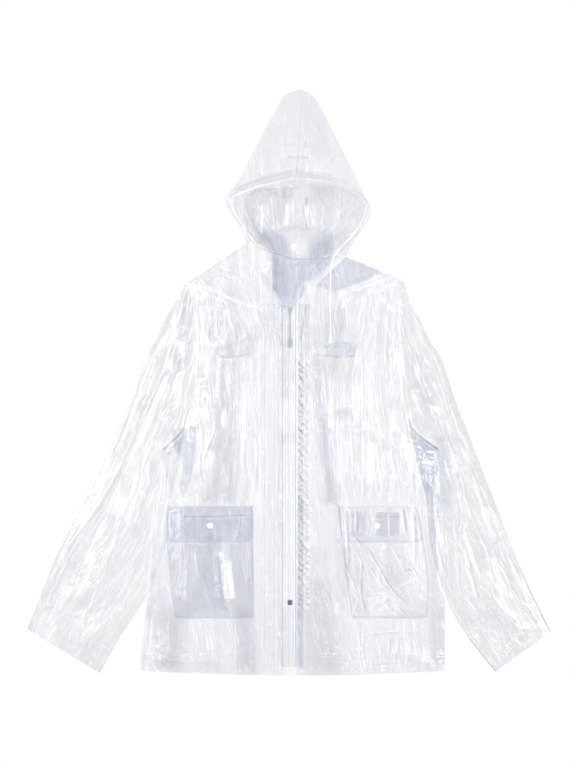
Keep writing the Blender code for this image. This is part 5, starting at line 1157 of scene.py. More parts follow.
def front_grid(side):
    """Places on a front, from its side seam to the zip."""
    guides = [EDGE[side]] + [guide_points(g) for g in FRONT_GUIDES[side]]
    return between(guides, FRONT_COUNTS)


def make_front(side):
    xy = front_grid(side)
    x, y = xy[..., 0], xy[..., 1]
    z = front_height(side, x, y)
    # painted shade patches, random mottling, painted crease and vein lines, and a faint painted sheen over
    # the crumpled patches
    shade = patch_sum(x, y, FRONT_SHADE) + 0.15 * noise(x / 40 + 2, y / 160 + 6, 77)
    shade += 1.15 * painted_crease_lines(x, y, FRONT_LINES) + painted_crease_lines(x, y, NECK_LINES)
    fans = patch_sum(x, y, VEINED)
    shade += fans * (0.45 * painted_veins(x, y, 88, 90, 11, 801)
                     + 0.7 * painted_veins(x, y, 60 if side == "left" else 120, 55, 18, 811))
    shade += 0.30 * (painted_veins(x, y, 84, 130, 34, 821) + painted_veins(x, y, 20, 60, 40, 831, keep=-0.1))
    milk = 0.05 * patch_sum(x, y, CRUMPLED)
    off_seam = 0.15 + 0.65 * smooth((side_distance(x, y) - 8) / 24)
    relief = off_seam * (0.25 + 0.5 * smooth((np.abs(y - UNDERARM_Y - 15) - 20) / 30))
    made = film_grid(f"front_{side}_film", np.dstack([xy, z]), FILM, patch_sum(x, y, FRONT_CLING), milk, shade,
                     relief=np.where(side_distance(x, y) < 60, relief, 0.7) * underarm_calm(x, y))
    wear(made, [f"front_{side}"])
    return made


CAPE_SEEN = (  # where the cape's lower edge shows through the chest
    ((212, 300), (256, 300), (256, 380), (212, 380)), ((313, 300), (358, 300), (358, 380), (313, 380)))


def make_back():
    """The back panel and the loose cape under it."""
    mid = guide_points(BACK_MID)
    necks = [guide_points(g) for g in (POCKET_INNER_R, POCKET_INNER_L)]
    grid = between([EDGE["right"], necks[0], mid, necks[1], EDGE["left"]], (40, 22, 22, 40))[::2]
    x, y = grid[..., 0], grid[..., 1]
    rise = smooth(side_distance(x, y) / 12)
    own = creases(x, y, BACK_CREASES) + 0.8 * body_wrinkles(x, y, 71)
    own = np.clip(own, -0.4, 1.6) * rise
    z = back_under(x, y) + MIDWALL + own
    grid = grid + np.dstack([0 * x, 3.2 * smooth((np.arange(len(y)) - len(y) + 3) / 2)[:, None] + 0 * x])
    # random mottling, painted shade patches and painted crease lines
    shade = 0.2 * noise(x / 50 + 12, y / 150 + 4, 79) + patch_sum(x, y, BACK_SHADE)
    shade = shade + painted_crease_lines(x, y, BACK_LINES)
    made = film_grid("back_panel_film", np.dstack([grid, z]), BACK_FILM, patch_sum(x, y, BACK_CLING), 0.0, shade,
                     relief=0.7 * underarm_calm(x, y))
    wear(made, ["back_panel"])
    cape = grid[int((LOW_ROWS + CAPE_SHARE * (HIGH_ROWS - 1)) / 2):]
    x, y = cape[..., 0], cape[..., 1]
    own = np.clip(0.8 * creases(x, y, BACK_CREASES), -0.3, 0.3)
    low = np.exp(-((y - y.min()) / 14) ** 2)
    seen = sum(patch(x, y, outline, 8) for outline in CAPE_SEEN)
    # darker along the cape's lower edge where it shows through the chest, and painted lightening elsewhere
    # that hides its edge
    shade = low * (0.55 * seen - 0.11 * (1 - seen))
    made = film_grid("back_cape_film", np.dstack([cape, MIDWALL + own]), CAPE_FILM, 0.15 * low * seen,
                     0.0, shade)
    wear(made, ["back_cape"])


# ---------------------------------------------------------------- sleeves
SLEEVES = {"right": (OUTER_R, INNER_R, -1), "left": (OUTER_L, INNER_L, 1)}
SLEEVE_ROWS, SLEEVE_ACROSS = 250, 110
SLEEVE_CRUMPLED = (
    (0.8, 12, (26, 630), (44, 600), (110, 640), (100, 674)),
    (0.8, 12, (484, 640), (540, 600), (552, 632), (496, 674)),
    (0.5, 14, (428, 400), (450, 410), (500, 600), (486, 610)),
    (0.4, 12, (186, 300), (200, 300), (196, 400), (172, 400)))


SLEEVE_ANGLE = {"right": 58, "left": -63}  # degrees, the way its crinkles run
SLEEVE_CLING = {
    "right": ((0.6, 3, (171, 429), (186, 428), (181, 455), (174, 446)),
              (0.25, 6, (186, 290), (196, 300), (188, 360), (176, 384), (150, 404), (168, 360))),
    "left": ((0.5, 7, (414, 436), (447, 436), (452, 480), (450, 505), (426, 505)),
             (0.20, 6, (402, 300), (407, 340), (424, 385), (446, 440), (436, 440), (412, 380), (398, 320)))}


def sleeve_top(side, x, y, free, seed):
    """Creases and crinkle of a sleeve's upper layer."""
    own = creases(x, y, SLEEVE_CREASES[side])
    angle = SLEEVE_ANGLE[side]
    own = own + 0.26 * streaks(x, y, angle, 90, 20, seed) + 0.16 * streaks(x, y, angle + 14, 60, 16, seed + 1)
    own = own + 0.12 * streaks(x, y, angle + 80, 45, 16, seed + 2, keep=-0.05)
    own = own + 0.5 * noise(x / 50, y / 70, seed + 3)
    own = own + 0.7 * patch_sum(x, y, SLEEVE_CRUMPLED) * (crumple(x, y, 13, seed + 4) - 0.5)
    return np.clip(own, -1.6, 3.0) * free


def make_sleeve(side):
    outer_rows, inner_rows, way = SLEEVES[side]
    shares = np.r_[0, 0.016 * np.arange(1, 4) / 3, np.linspace(0.02, 1, SLEEVE_ROWS - 4)]
    outer_line, inner_line = along(outer_rows, shares), along(inner_rows, shares)
    across = np.linspace(0, 1, SLEEVE_ACROSS)
    arm_y = UNDERARM_Y + across * (SIDES[side][1][-1][0] - UNDERARM_Y)
    arm = np.stack([np.interp(arm_y, EDGE[side][:, 1], EDGE[side][:, 0]), arm_y], -1)
    bulge = arm - (arm[0] + (arm[-1] - arm[0]) * across[:, None])
    slope = np.gradient(arm, axis=0)
    normal = np.stack([-slope[:, 1], slope[:, 0]], -1) / np.linalg.norm(slope, axis=1)[:, None]
    normal *= np.where(normal[:, :1] * way < 0, -1, 1)
    rings, fold_shade, milks, calms, tuck_lightening = [], [], [], [], []
    seed = 211 if side == "right" else 251
    for a, b, share in zip(inner_line, outer_line, shares):
        straight = a + (b - a) * across[:, None] + bulge * (1 - smooth(share / 0.35))
        beside = arm + normal * (0.05 + 300 * share)
        line = beside + (straight - beside) * smooth((share - 0.01) / 0.06)
        span = (line[-1] - line[0]) / np.linalg.norm(line[-1] - line[0])
        body = np.vstack([line[0] + span * 1.5, line[1:-1], line[-1] - span * 1.5])
        edge = np.minimum(np.linalg.norm(body - line[0], axis=1), np.linalg.norm(body - line[-1], axis=1))
        free = smooth((seam_distance(side, body) - 16) / 30) * smooth(edge / 18)
        cuff = 0.6 * smooth((share - 0.92) / 0.03)
        x, y = body.T
        top = PRESSED - MIDWALL + (SLEEVE_LOFT + ridges(x, y, SLEEVE_FOLDS[side])) * free + cuff
        near = smooth((seam_distance(side, body) - 4) / 16) * smooth(edge / 9)
        top = top + sleeve_top(side, x, y, near, seed)
        foot = MIDWALL + np.clip(0.35 * streaks(x, y, 50 * -way, 80, 16, seed + 7), 0, 0.5) * near
        at_seam = 1 - smooth(share / 0.016)
        seam_foot = back_under(*arm.T) + MIDWALL
        foot = foot + (seam_foot - foot) * at_seam
        top = top + (seam_foot + LAYER - top) * at_seam
        middle = [(foot[k] + top[k]) / 2 for k in (0, -1)]
        rings.append([[*line[0], middle[0]], *np.column_stack([body, top]),
                      [*line[-1], middle[1]], *np.column_stack([body, foot])[::-1]])
        # painted shade and painted sheen along the sleeve's folded edges
        fold = np.r_[1.0, np.exp(-edge / 4), 1.0, np.exp(-edge[::-1] / 4)]
        fold_shade.append(0.08 * fold)
        milks.append(0.03 * fold)
        # painted lightening where the sleeve tucks under the body, cancelling the darkening of its extra
        # layers
        tucked = 1 - smooth(seam_distance(side, body) / 3)
        tuck_lightening.append(-0.42 * np.r_[tucked[0], tucked, tucked[-1], tucked[::-1]])
        level = smooth((edge - 5) / 14) * smooth((seam_distance(side, body) - 5) / 14)
        level = level * smooth((np.hypot(x - arm[0, 0], y - arm[0, 1]) - 20) / 30)
        calms.append(np.r_[0.0, level, 0.0, 0.5 * level[::-1]])
    points = np.array(rings)
    x, y = points[..., 0], points[..., 1]
    top_side = np.r_[np.ones(SLEEVE_ACROSS + 2), np.zeros(SLEEVE_ACROSS)]
    cling = np.array(fold_shade) + patch_sum(x, y, SLEEVE_CLING[side]) * (0.3 + 0.7 * top_side)
    # painted crease highlights and shade on the upper layer, and painted veins
    painted_lines = painted_crease_lines(x, y, SLEEVE_LINES) * top_side
    painted_lines += (0.12 + 0.2 * top_side) * np.array(calms) * painted_veins(x, y, SLEEVE_ANGLE[side], 90, 24, seed + 11)
    made = film_grid(f"sleeve_{side}_film", points, SLEEVE_FILM[side], cling, np.array(milks),
                     np.array(tuck_lightening) + painted_lines + 0.15 * noise(x / 40, y / 60, seed + 9), closed=True,
                     relief=0.40 * np.array(calms) * underarm_calm(x, y))
    wear(made, [f"sleeve_{side}"])


# ---------------------------------------------------------------- hood
HOOD_HALVES = {"right": (HOOD_FOLD_R, FACE_R, -1), "left": (HOOD_FOLD_L, FACE_L, 1)}
HOOD_ROWS, BACK_COLS, TOP_COLS = 150, 60, 60
FACE_OPENING = (
    (256.6, 243.9), (247, 232), (239, 220.7), (234, 209), (233, 197.5), (253, 189), (276, 182.8),
    (294.5, 178.6), (335, 182.8), (354, 190), (366, 204), (364.5, 215), (358, 227), (345, 243), (334.5, 254),
    (294, 261))


PEAK_CLING = ((303, 100), (318, 104), (330, 140), (322, 160), (304, 150))
BRIM_BAND = ((237.8, 186.7), (273, 172.4), (294.7, 169.8), (330, 174), (360, 193.8), (344, 188),
             (296.4, 179.5), (273, 185), (236, 193.8))
# brim lines: a dark stitch line, a painted highlight along the edge where dark is negative, and painted shade
# just inside it
BRIM_LINES = ((15.5, 0.45, 1.2), (1.2, -1.5, 1.5), (4.6, 0.7, 1.6))  # (from the edge, dark, half width)
NOT_BRIM = 99.0  # a distance that no brim line reaches


def make_hood_half(side):
    """One side panel, from the centre seam of its back layer round the fold to its front edge."""
    fold_rows, face_rows, way = HOOD_HALVES[side]
    rows = np.linspace(0, 1, HOOD_ROWS + 1)
    fold = along(fold_rows, rows)
    on_face = rows <= BRIM_SHARE
    inner = np.vstack([along(face_rows, rows[on_face] / BRIM_SHARE),
                       along(HOOD_SEAM_TOP, (rows[~on_face] - BRIM_SHARE) / (1 - BRIM_SHARE))])
    seam = along(HOOD_SEAM_BACK, rows)
    inner[:, 0] += way * 0.05 * (inner[:, 0] * way < 30)
    seam[:, 0] += way * 0.05
    grid, brims = [], []
    back_steps, top_steps = np.linspace(0, 1, BACK_COLS), np.linspace(0, 1, TOP_COLS)
    seed = 311 if side == "right" else 351
    for k, share in enumerate(rows):
        span = (seam[k] - fold[k]) / np.linalg.norm(seam[k] - fold[k])
        rim = fold[k] + span * 1.3
        back = seam[k] + (rim - seam[k]) * back_steps[:, None]
        over = np.linalg.norm(back - fold[k], axis=1)
        x, y = back.T
        lift = (0.25 * ridges(x, y, HOOD_GATHERS)
                + creases(x, y, FACE_CREASES)) * smooth(back_steps / 0.05 + 0.5) * (share < 0.42)
        lift = lift + 0.35 * streaks(x, y, 88, 60, 14, seed) + 0.25 * (1 + noise(x / 35, y / 45, seed + 1))
        below = MIDWALL + np.clip(lift, 0, 3.6) * smooth(over / 40)
        top = rim + (inner[k] - rim) * top_steps[:, None]
        wide = np.linalg.norm(top - fold[k], axis=1)
        rise = HOOD_LOFT * smooth(share / 0.25) * (1 - 0.6 * smooth((share - 0.55) / 0.45))
        x, y = top.T
        high = HOOD_EDGE - MIDWALL + rise * smooth(wide / 60)
        to_edge = np.linalg.norm(top - inner[k], axis=1)
        own = creases(x, y, HOOD_CREASES) + 0.18 * streaks(x, y, 70 * -way, 60, 12, seed + 3)
        own = own + 0.6 * noise(x / 50, y / 70, seed + 5)
        high = high + np.clip(own, -1.5, 2.0) * smooth(wide / 30) * smooth(to_edge / 14)
        tunnel = np.exp(-((to_edge - 8) / 6.5) ** 2) if share <= BRIM_SHARE else 0
        high = high + 0.7 * tunnel
        round_part = [[*(fold[k] + span * 0.45), 0.75], [*fold[k], HOOD_EDGE / 2],
                      [*(fold[k] + span * 0.45), HOOD_EDGE - 0.75]]
        brims.append(np.r_[np.full(BACK_COLS + 3, NOT_BRIM),
                           to_edge if share <= BRIM_SHARE else np.full(TOP_COLS, NOT_BRIM)])
        grid.append([*np.column_stack([back, below]), *round_part, *np.column_stack([top, high])])
    points = np.array(grid)
    x, y = points[..., 0], points[..., 1]
    is_top = np.r_[np.zeros(BACK_COLS + 1), np.ones(TOP_COLS + 2)]
    cling = 0.75 * (1 - is_top) * patch_sum(x, y, BACK_CLING)
    cling += 0.13 * is_top * patch(x, y, PEAK_CLING, 10)
    # painted shade over the hood's back layer, strongest inside the face opening, with painted shade patches,
    # painted crease lines and painted veins
    shade = (1 - is_top) * (0.2 + 0.9 * patch(x, y, FACE_OPENING, 3) + patch_sum(x, y, BACK_SHADE)
                            + painted_crease_lines(x, y, FACE_LINES) + painted_crease_lines(x, y, NECK_LINES))
    shade += (1 - is_top) * 0.5 * painted_veins(x, y, 100 if side == "right" else 60, 40, 12, seed + 21, keep=0.1)
    # the top layer: painted crease lines, a painted highlight along the brim's edge with painted shade beside
    # it, and a darker band along the brim
    shade += is_top * painted_crease_lines(x, y, HOOD_LINES)
    from_brim = np.array(brims)
    shade += is_top * sum(dark * np.exp(-((from_brim - at) / half) ** 2) for at, dark, half in BRIM_LINES)
    shade += is_top * 0.5 * patch(x, y, BRIM_BAND, 3)
    edge_calm = np.r_[np.full(BACK_COLS - 6, 0.75), np.linspace(0.75, 0.2, 6), 0.1, 0.1, 0.1,
                      np.linspace(0.2, 1, 6), np.ones(TOP_COLS - 6)]
    made = film_grid(f"hood_{side}_film", points, HOOD_FILM, cling, 0.0, shade, relief=0.7 * edge_calm)
    cut = np.linalg.norm(np.diff(points[..., :2], axis=1), axis=-1).sum(1)
    wide = float(cut.max())
    wear(made, [f"hood_{side}"])


# ---------------------------------------------------------------- neck bands, plackets, zip tapes
def make_neck_band(side):
    edge_rows = BAND_EDGE_R if side == "right" else BAND_EDGE_L
    shares = np.linspace(0, 1, 61)
    tops = {"right": ((-80, 262), (-12, 155)), "left": ((107, 237), (17, 150))}[side]
    neck, foot = (np.array(p, float) for p in tops)
    run = (foot - neck) / np.linalg.norm(foot - neck)
    off = np.array([-run[1], run[0]]) * (1 if run[0] > 0 else -1) * EDGE_OFF
    seam = neck + run + off + (foot - neck - 2 * run) * shares[:, None]
    edge = along(edge_rows, shares)
    across = np.linspace(0, 1, 21)
    xy = seam[:, None] + (edge - seam)[:, None] * across[:, None]
    x, y = xy[..., 0], xy[..., 1]
    z = BAND_Z + MIDWALL + 0.8 * np.sin(math.pi * shares)[:, None] * np.sin(math.pi * across)
    z = z + 0.25 * streaks(x, y, 60 if side == "left" else -60, 30, 9, 401) * np.sin(math.pi * across)
    cling = np.full(x.shape, 0.15)
    # painted crease highlights and shade from the neck lines
    made = film_grid(f"neck_band_{side}_film", np.dstack([xy, z]), FILM_DOUBLE, cling, 0.0,
                     painted_crease_lines(x, y, NECK_LINES))
    wear(made, [f"neck_band_{side}"])


PUCKER_PITCH = 14.0


def make_placket_left():
    ys = np.linspace(*PLACKET_ENDS, 691)
    xs = np.linspace(*PLACKET_L, 25)
    x, y = np.meshgrid(xs, ys)
    fade = smooth((y + 470) / 60) * smooth((70 - y) / 40) * 0.88 + 0.12
    wander = 0.9 * noise(y / 34 + 3, x * 0 + 4, 501) + y / PUCKER_PITCH
    across = (x - PLACKET_L[0]) / (PLACKET_L[1] - PLACKET_L[0])
    zigzag = np.abs(((wander + 0.55 * (across - 0.4)) % 1) * 2 - 1)
    other = np.abs(((wander * 1.63 - 0.7 * across + 0.3) % 1) * 2 - 1)
    gathers = 2.2 * zigzag * (0.45 + 0.55 * other) + 0.7 * crumple(x, y, 9, 505)
    held = np.sin(math.pi * across) ** 0.6
    z = PLACKET_Z + MIDWALL + gathers * fade * held * 0.85
    strip_held = smooth((across - 0.05) / 0.08) * smooth((0.60 - across) / 0.10)
    stroke = (wander + 1.5 * (across - 0.3)) % 1
    other_stroke = (1.27 * wander - 1.1 * across + 0.35) % 1
    fade = fade * (0.65 + 0.5 * noise(y / 37 + 5, x * 0 + 9, 507))
    # painted shade and painted highlight strokes across the puckers
    pucker_shading = 3.2 * np.exp(-(((stroke - 0.30) / 0.13) ** 2)) - 0.9 * np.exp(-(((stroke - 0.56) / 0.12) ** 2))
    pucker_shading += 1.2 * np.exp(-(((other_stroke
                                - 0.4) / 0.12) ** 2)) - 0.8 * np.exp(-(((other_stroke - 0.65) / 0.11) ** 2))
    cling = 0.08 + 0.30 * fade * strip_held + patch_sum(x, y, PLACKET_CLING)
    shade = fade * (strip_held * pucker_shading + 0.3 * (1 - strip_held) * smooth((across - 0.5) / 0.1) * pucker_shading)
    # painted highlight lines along the strip's left edge and at 0.6 across it, and a darker line beside that
    shade += -0.9 * np.exp(-((across / 0.07) ** 2)) - 0.6 * np.exp(-(((across - 0.60) / 0.045) ** 2))
    shade += 0.35 * np.exp(-(((across - 0.68) / 0.05) ** 2)) + painted_crease_lines(x, y, NECK_LINES)
    made = film_grid("placket_left_film", np.dstack([x, y, z]), FILM_DOUBLE, cling, 0.0, shade, relief=0.5)
    wear(made, ["placket_left"])


PLACKET_CLING = ((0.55, 2, (297.5, 496), (303.5, 496), (303.5, 668), (297.5, 668)),)
TAPE_CLING = (
    (0.45, 3, (282.5, 306), (290, 306), (290, 398), (282.5, 398)),
    (0.25, 3, (290, 350), (295, 350), (295, 386), (290, 386)),
    (0.30, 4, (281, 432), (296, 432), (296, 444), (281, 444)),
    (0.25, 6, (283, 606), (296, 606), (296, 668), (283, 668)))


def strip(name, x_ends, y_ends, z, look, replaced, lines=(), cling=0.0, shade=0.0, seed=520):
    """A straight band of film with raised welded or sewn lines along it, given as (place, light, dark): light
    is a painted highlight along a line and dark a darker line.
    """
    ys = np.linspace(*y_ends, 261)
    xs = np.linspace(*x_ends, max(9, int(abs(x_ends[1] - x_ends[0]) / 0.9)))
    x, y = np.meshgrid(xs, ys)
    edge = smooth((x - xs[0]) / 4) * smooth((xs[-1] - x) / 4)
    own = 0.25 * streaks(x, y, 90, 80, 9, seed) + 0.25 * noise(x / 20, y / 45, seed + 1)
    own = own + 0.2 * streaks(x, y, 20, 30, 9, seed + 2, keep=-0.1)
    height = z + own * edge
    # painted crease highlights and shade from the neck lines
    shade = shade + painted_crease_lines(x, y, NECK_LINES)
    for at, light, dark in lines:
        height = height + 0.25 * light * np.exp(-((x - at) / 1.2) ** 2)
        uneven = 1 + 0.3 * noise(x * 0 + at, y / 60, seed + 7)
        shade = shade + (dark - light) * np.exp(-((x - at) / 1.0) ** 2) * uneven
    made = film_grid(name, np.dstack([x, y, height]), look, cling + patch_sum(x, y, TAPE_CLING), 0.0, shade,
                     relief=0.4)
    wear(made, [replaced])
    return made


# ---------------------------------------------------------------- pockets
def pocket_grid(side, foot, corner, rows, cols):
    """Places on a pocket or its flap, with its two lower corners rounded."""
    ys = np.linspace(foot, POCKET_TOP, rows)
    outer, inner = (np.stack([x_of(g, ys), ys], -1) for g in FRONT_GUIDES[side][:2])
    above = np.clip(corner - (ys - foot), 0, corner)
    inset = corner - np.sqrt(corner**2 - above**2)
    share = inset / np.linalg.norm(inner - outer, axis=1)
    across = share[:, None] + (1 - 2 * share[:, None]) * np.linspace(0, 1, cols)
    return outer[:, None] + (inner - outer)[:, None] * across[..., None]


def pocket_height(side, x, y, up, across):
    raised = smooth(up * 2) * smooth(across * 1.6)
    lift = POCKET_PUFF[side] * raised + ridges(x, y, POCKET_FOLDS[side]) * raised
    own = creases(x, y, POCKET_CREASES[side])
    seed = 611 if side == "right" else 651
    size, strength = (24, 0.25) if side == "right" else (20, 0.5)
    own = (0.6 if side == "left" else 0.5) * own
    own = own + strength * (crumple(x, y, size, seed) - 0.55) + 0.12 * streaks(x, y, 70, 60, 18, seed + 3)
    inside = smooth(up * 5) * smooth(across * 5)
    return front_height(side, x, y) + LAYER + lift + np.clip(own, -1.2, 3.0) * inside


# how strongly the painted crease lines show on each pocket and on each flap
POCKET_CONTRAST, FLAP_CONTRAST = {"right": 0.8, "left": 1.9}, {"right": 0.5, "left": 1.3}


def make_pocket(side):
    """A patch pocket and the flap over it."""
    xy = pocket_grid(side, POCKET_FOOT, 7.0, 120, 96)
    x, y = xy[..., 0], xy[..., 1]
    up = np.sin(math.pi * np.linspace(0, 0.9, x.shape[0]))[:, None] + 0 * x
    across = np.sin(math.pi * np.linspace(0, 1, x.shape[1])) + 0 * x
    z = pocket_height(side, x, y, up, across)
    border = 0.5 * (1 - smooth(across * 9)) + 0.5 * (1 - smooth(up * 9))
    cling = patch_sum(x, y, POCKET_CLING[side])
    # painted shade patches, painted crease highlights and shade, and painted veins on the left pocket; the
    # whiteness channel gets the painted highlight streak
    shade = patch_sum(x, y, POCKET_SHADE[side]) + POCKET_CONTRAST[side] * painted_crease_lines(x, y, POCKET_LINES)
    if side == "left":
        shade = shade + 0.3 * painted_veins(x, y, 35, 45, 22, 653, keep=0.1)
    made = film_grid(f"pocket_{side}_film", np.dstack([xy, z]), POCKET_FILM[side], cling + border,
                     patch_sum(x, y, POCKET_HIGHLIGHT[side]), shade, relief={"right": 0.4, "left": 0.22}[side])
    wear(made, [f"pocket_{side}"])
    xy = pocket_grid(side, FLAP_FOOT, 12.0, 60, 96)
    x, y = xy[..., 0], xy[..., 1]
    up = np.sin(math.pi * 0.9 * (y - POCKET_FOOT) / (POCKET_TOP - POCKET_FOOT))
    across = np.sin(math.pi * np.linspace(0, 1, x.shape[1])) + 0 * x
    own = LAYER + 0.2 * streaks(x, y, 80, 40, 14, 671)
    if side == "left":
        own = own + 0.5 * (crumple(x, y, 13, 673) - 0.5)
    own = own * smooth(across * 5) + LAYER * (1 - smooth(across * 5))
    z = pocket_height(side, x, y, up, across) + np.maximum(own, 0.9)
    edge = 0.5 * (1 - smooth(across * 12)) + 0.5 * (1 - smooth((y - FLAP_FOOT) / 3.5))
    # painted crease highlights and shade on the flap
    shade = FLAP_CONTRAST[side] * (painted_crease_lines(x, y, FLAP_LINES) + painted_crease_lines(x, y, POCKET_LINES))
    made = film_grid(f"pocket_flap_{side}_film", np.dstack([xy, z]), POCKET_FILM[side],
                     patch_sum(x, y, FLAP_CLING) + edge, 0.0, shade, relief=0.45)
    wear(made, [f"pocket_flap_{side}"])


# ---------------------------------------------------------------- small pieces
def lathe(name, centre, stops, look, sides=40):
    """A round piece on a vertical axis, from (radius, height) stops, foot first."""
    angles = 2 * math.pi * np.arange(sides) / sides
    ring = np.stack([np.cos(angles), np.sin(angles)], -1)
    rows = [np.column_stack([ring * r, np.full(sides, h)]) for r, h in stops]
    vertices = np.vstack(rows + [[[0, 0, stops[0][1]]], [[0, 0, stops[-1][1]]]]) + np.array(centre)
    faces, foot, top = [], len(stops) * sides, len(stops) * sides + 1
    for k in range(sides):
        n = (k + 1) % sides
        faces.append((foot, n, k))
        faces.append((top, (len(stops) - 1) * sides + k, (len(stops) - 1) * sides + n))
        faces += [(r * sides + k, r * sides + n, (r + 1) * sides + n, (r + 1) * sides + k)
                  for r in range(len(stops) - 1)]
    return placed(name, vertices, faces, look)


SNAP_PIECES = ("snap_flap_right", "snap_flap_left", "snap_neck_upper", "snap_neck_lower", "snap_back_neck",
               "snap_hood")


SNAP_PROFILE = (  # (share of the radius, height), from the foot to the middle of the cap
    (0.90, 0.0), (0.98, 0.15), (1.0, 0.45), (0.97, 0.85), (0.90, 1.15), (0.80, 1.35), (0.70, 1.30),
    (0.60, 1.05), (0.52, 1.0), (0.46, 1.15), (0.40, 1.6), (0.32, 1.95), (0.20, 2.12), (0.08, 2.2))


def make_snaps():
    """A moulded cap in each snap's place."""
    for name in SNAP_PIECES:
        low, high = (np.array(c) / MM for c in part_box(name))
        radius = (high[0] - low[0]) / 2
        centre = ((low[0] + high[0]) / 2, (low[1] + high[1]) / 2, low[2])
        stops = [(radius * r, h) for r, h in SNAP_PROFILE]
        look = CLEAR_SNAP if name in ("snap_hood", "snap_neck_lower") else WHITE
        made = lathe(f"{name}_cap", centre, stops, look)
        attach(made, BODY)
        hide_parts(name)


TOOTH_PITCH = 1.34
TOOTH_OUTLINE = ((-0.5, -0.45), (0.9, -0.62), (2.35, -0.55), (2.35, 0.55), (0.9, 0.62), (-0.5, 0.45))
TOOTH_LEVELS = ((CHAIN_Z, 1.0), (CHAIN_Z + 1.2, 1.0), (CHAIN_Z + 1.6, 0.72))  # (height, share of the outline)


def make_teeth():
    """Two rows of moulded teeth that mesh down the middle of the zip."""
    vertices, faces, n = [], [], len(TOOTH_OUTLINE)
    count = int((ZIP_TOP - ZIP_FOOT) / TOOTH_PITCH)
    for k in range(count):
        way = 1 if k % 2 else -1
        y = ZIP_FOOT + (k + 0.5) * TOOTH_PITCH
        base = len(vertices)
        for z, inset in TOOTH_LEVELS:
            vertices += [(ZIP_X + way * (0.9 + (out - 0.9) * inset), y + along_zip * inset, z)
                         for out, along_zip in TOOTH_OUTLINE]
        for ring in range(2):
            for j in range(n):
                a, b = base + ring * n + j, base + ring * n + (j + 1) % n
                faces.append((a, b, b + n, a + n) if way > 0 else (a, a + n, b + n, b))
        cap = tuple(base + 2 * n + j for j in range(n))
        foot = tuple(base + j for j in range(n))
        faces += [cap if way > 0 else cap[::-1], foot[::-1] if way > 0 else foot]
    made = placed("zip_teeth", vertices, faces, TEETH, shade_smooth=False)
    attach(made, BODY)
    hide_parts("zip_chain")


def dress(node, look):
    """A CAD solid that keeps its shape gets the finish."""
    solid = frame["nodes"][node] if isinstance(frame["nodes"], dict) else bpy.data.objects[node]
    solid.data.materials.clear()
    solid.data.materials.append(look)


TREES = {}


def surface_tree(names):
    """Search trees of the named pieces, in millimetres."""
    for name in names:
        if name not in TREES:
            mesh = bpy.data.objects[name].data
            spots = np.empty(len(mesh.vertices) * 3, np.float32)
            mesh.vertices.foreach_get("co", spots)
            TREES[name] = BVHTree.FromPolygons(
                (spots.reshape(-1, 3) / MM).tolist(), [tuple(p.vertices) for p in mesh.polygons])
    return [TREES[name] for name in names]


def top_at(trees, x, y, radius):
    """The highest place of these pieces under a round patch."""
    best = 0.0
    spots = [(x, y)]
    if radius > 0:
        spots += [(x + r * math.cos(a), y + r * math.sin(a))
                  for r in (radius * 0.5, radius) for a in np.arange(8) * math.pi / 4]
    for at_x, at_y in spots:
        for tree in trees:
            hit = tree.ray_cast((at_x, at_y, 100), (0, 0, -1))
            if hit[0] is not None:
                best = max(best, hit[0].z)
    return best


CORD_RADIUS, CORD_STEPS, TIP_SIDES = 1.3, 25, 24
TIP_PROFILE = (  # (distance along the tip, radius)
    (-0.5, 0.9), (0.0, 1.55), (0.4, 1.75), (2.0, 1.78), (6, 1.95), (12, 2.3), (16, 2.75), (18.5, 2.9),
    (20.2, 2.7), (21.0, 2.1))
CORD_ROUTES = {
    "right": ((-34, 224), (-33, 174), (-32, 133), (-30, 108), (-24, 88)),
    "left": ((98, 254), (82, 233), (78.4, 193), (78, 140), (78.5, 94))}


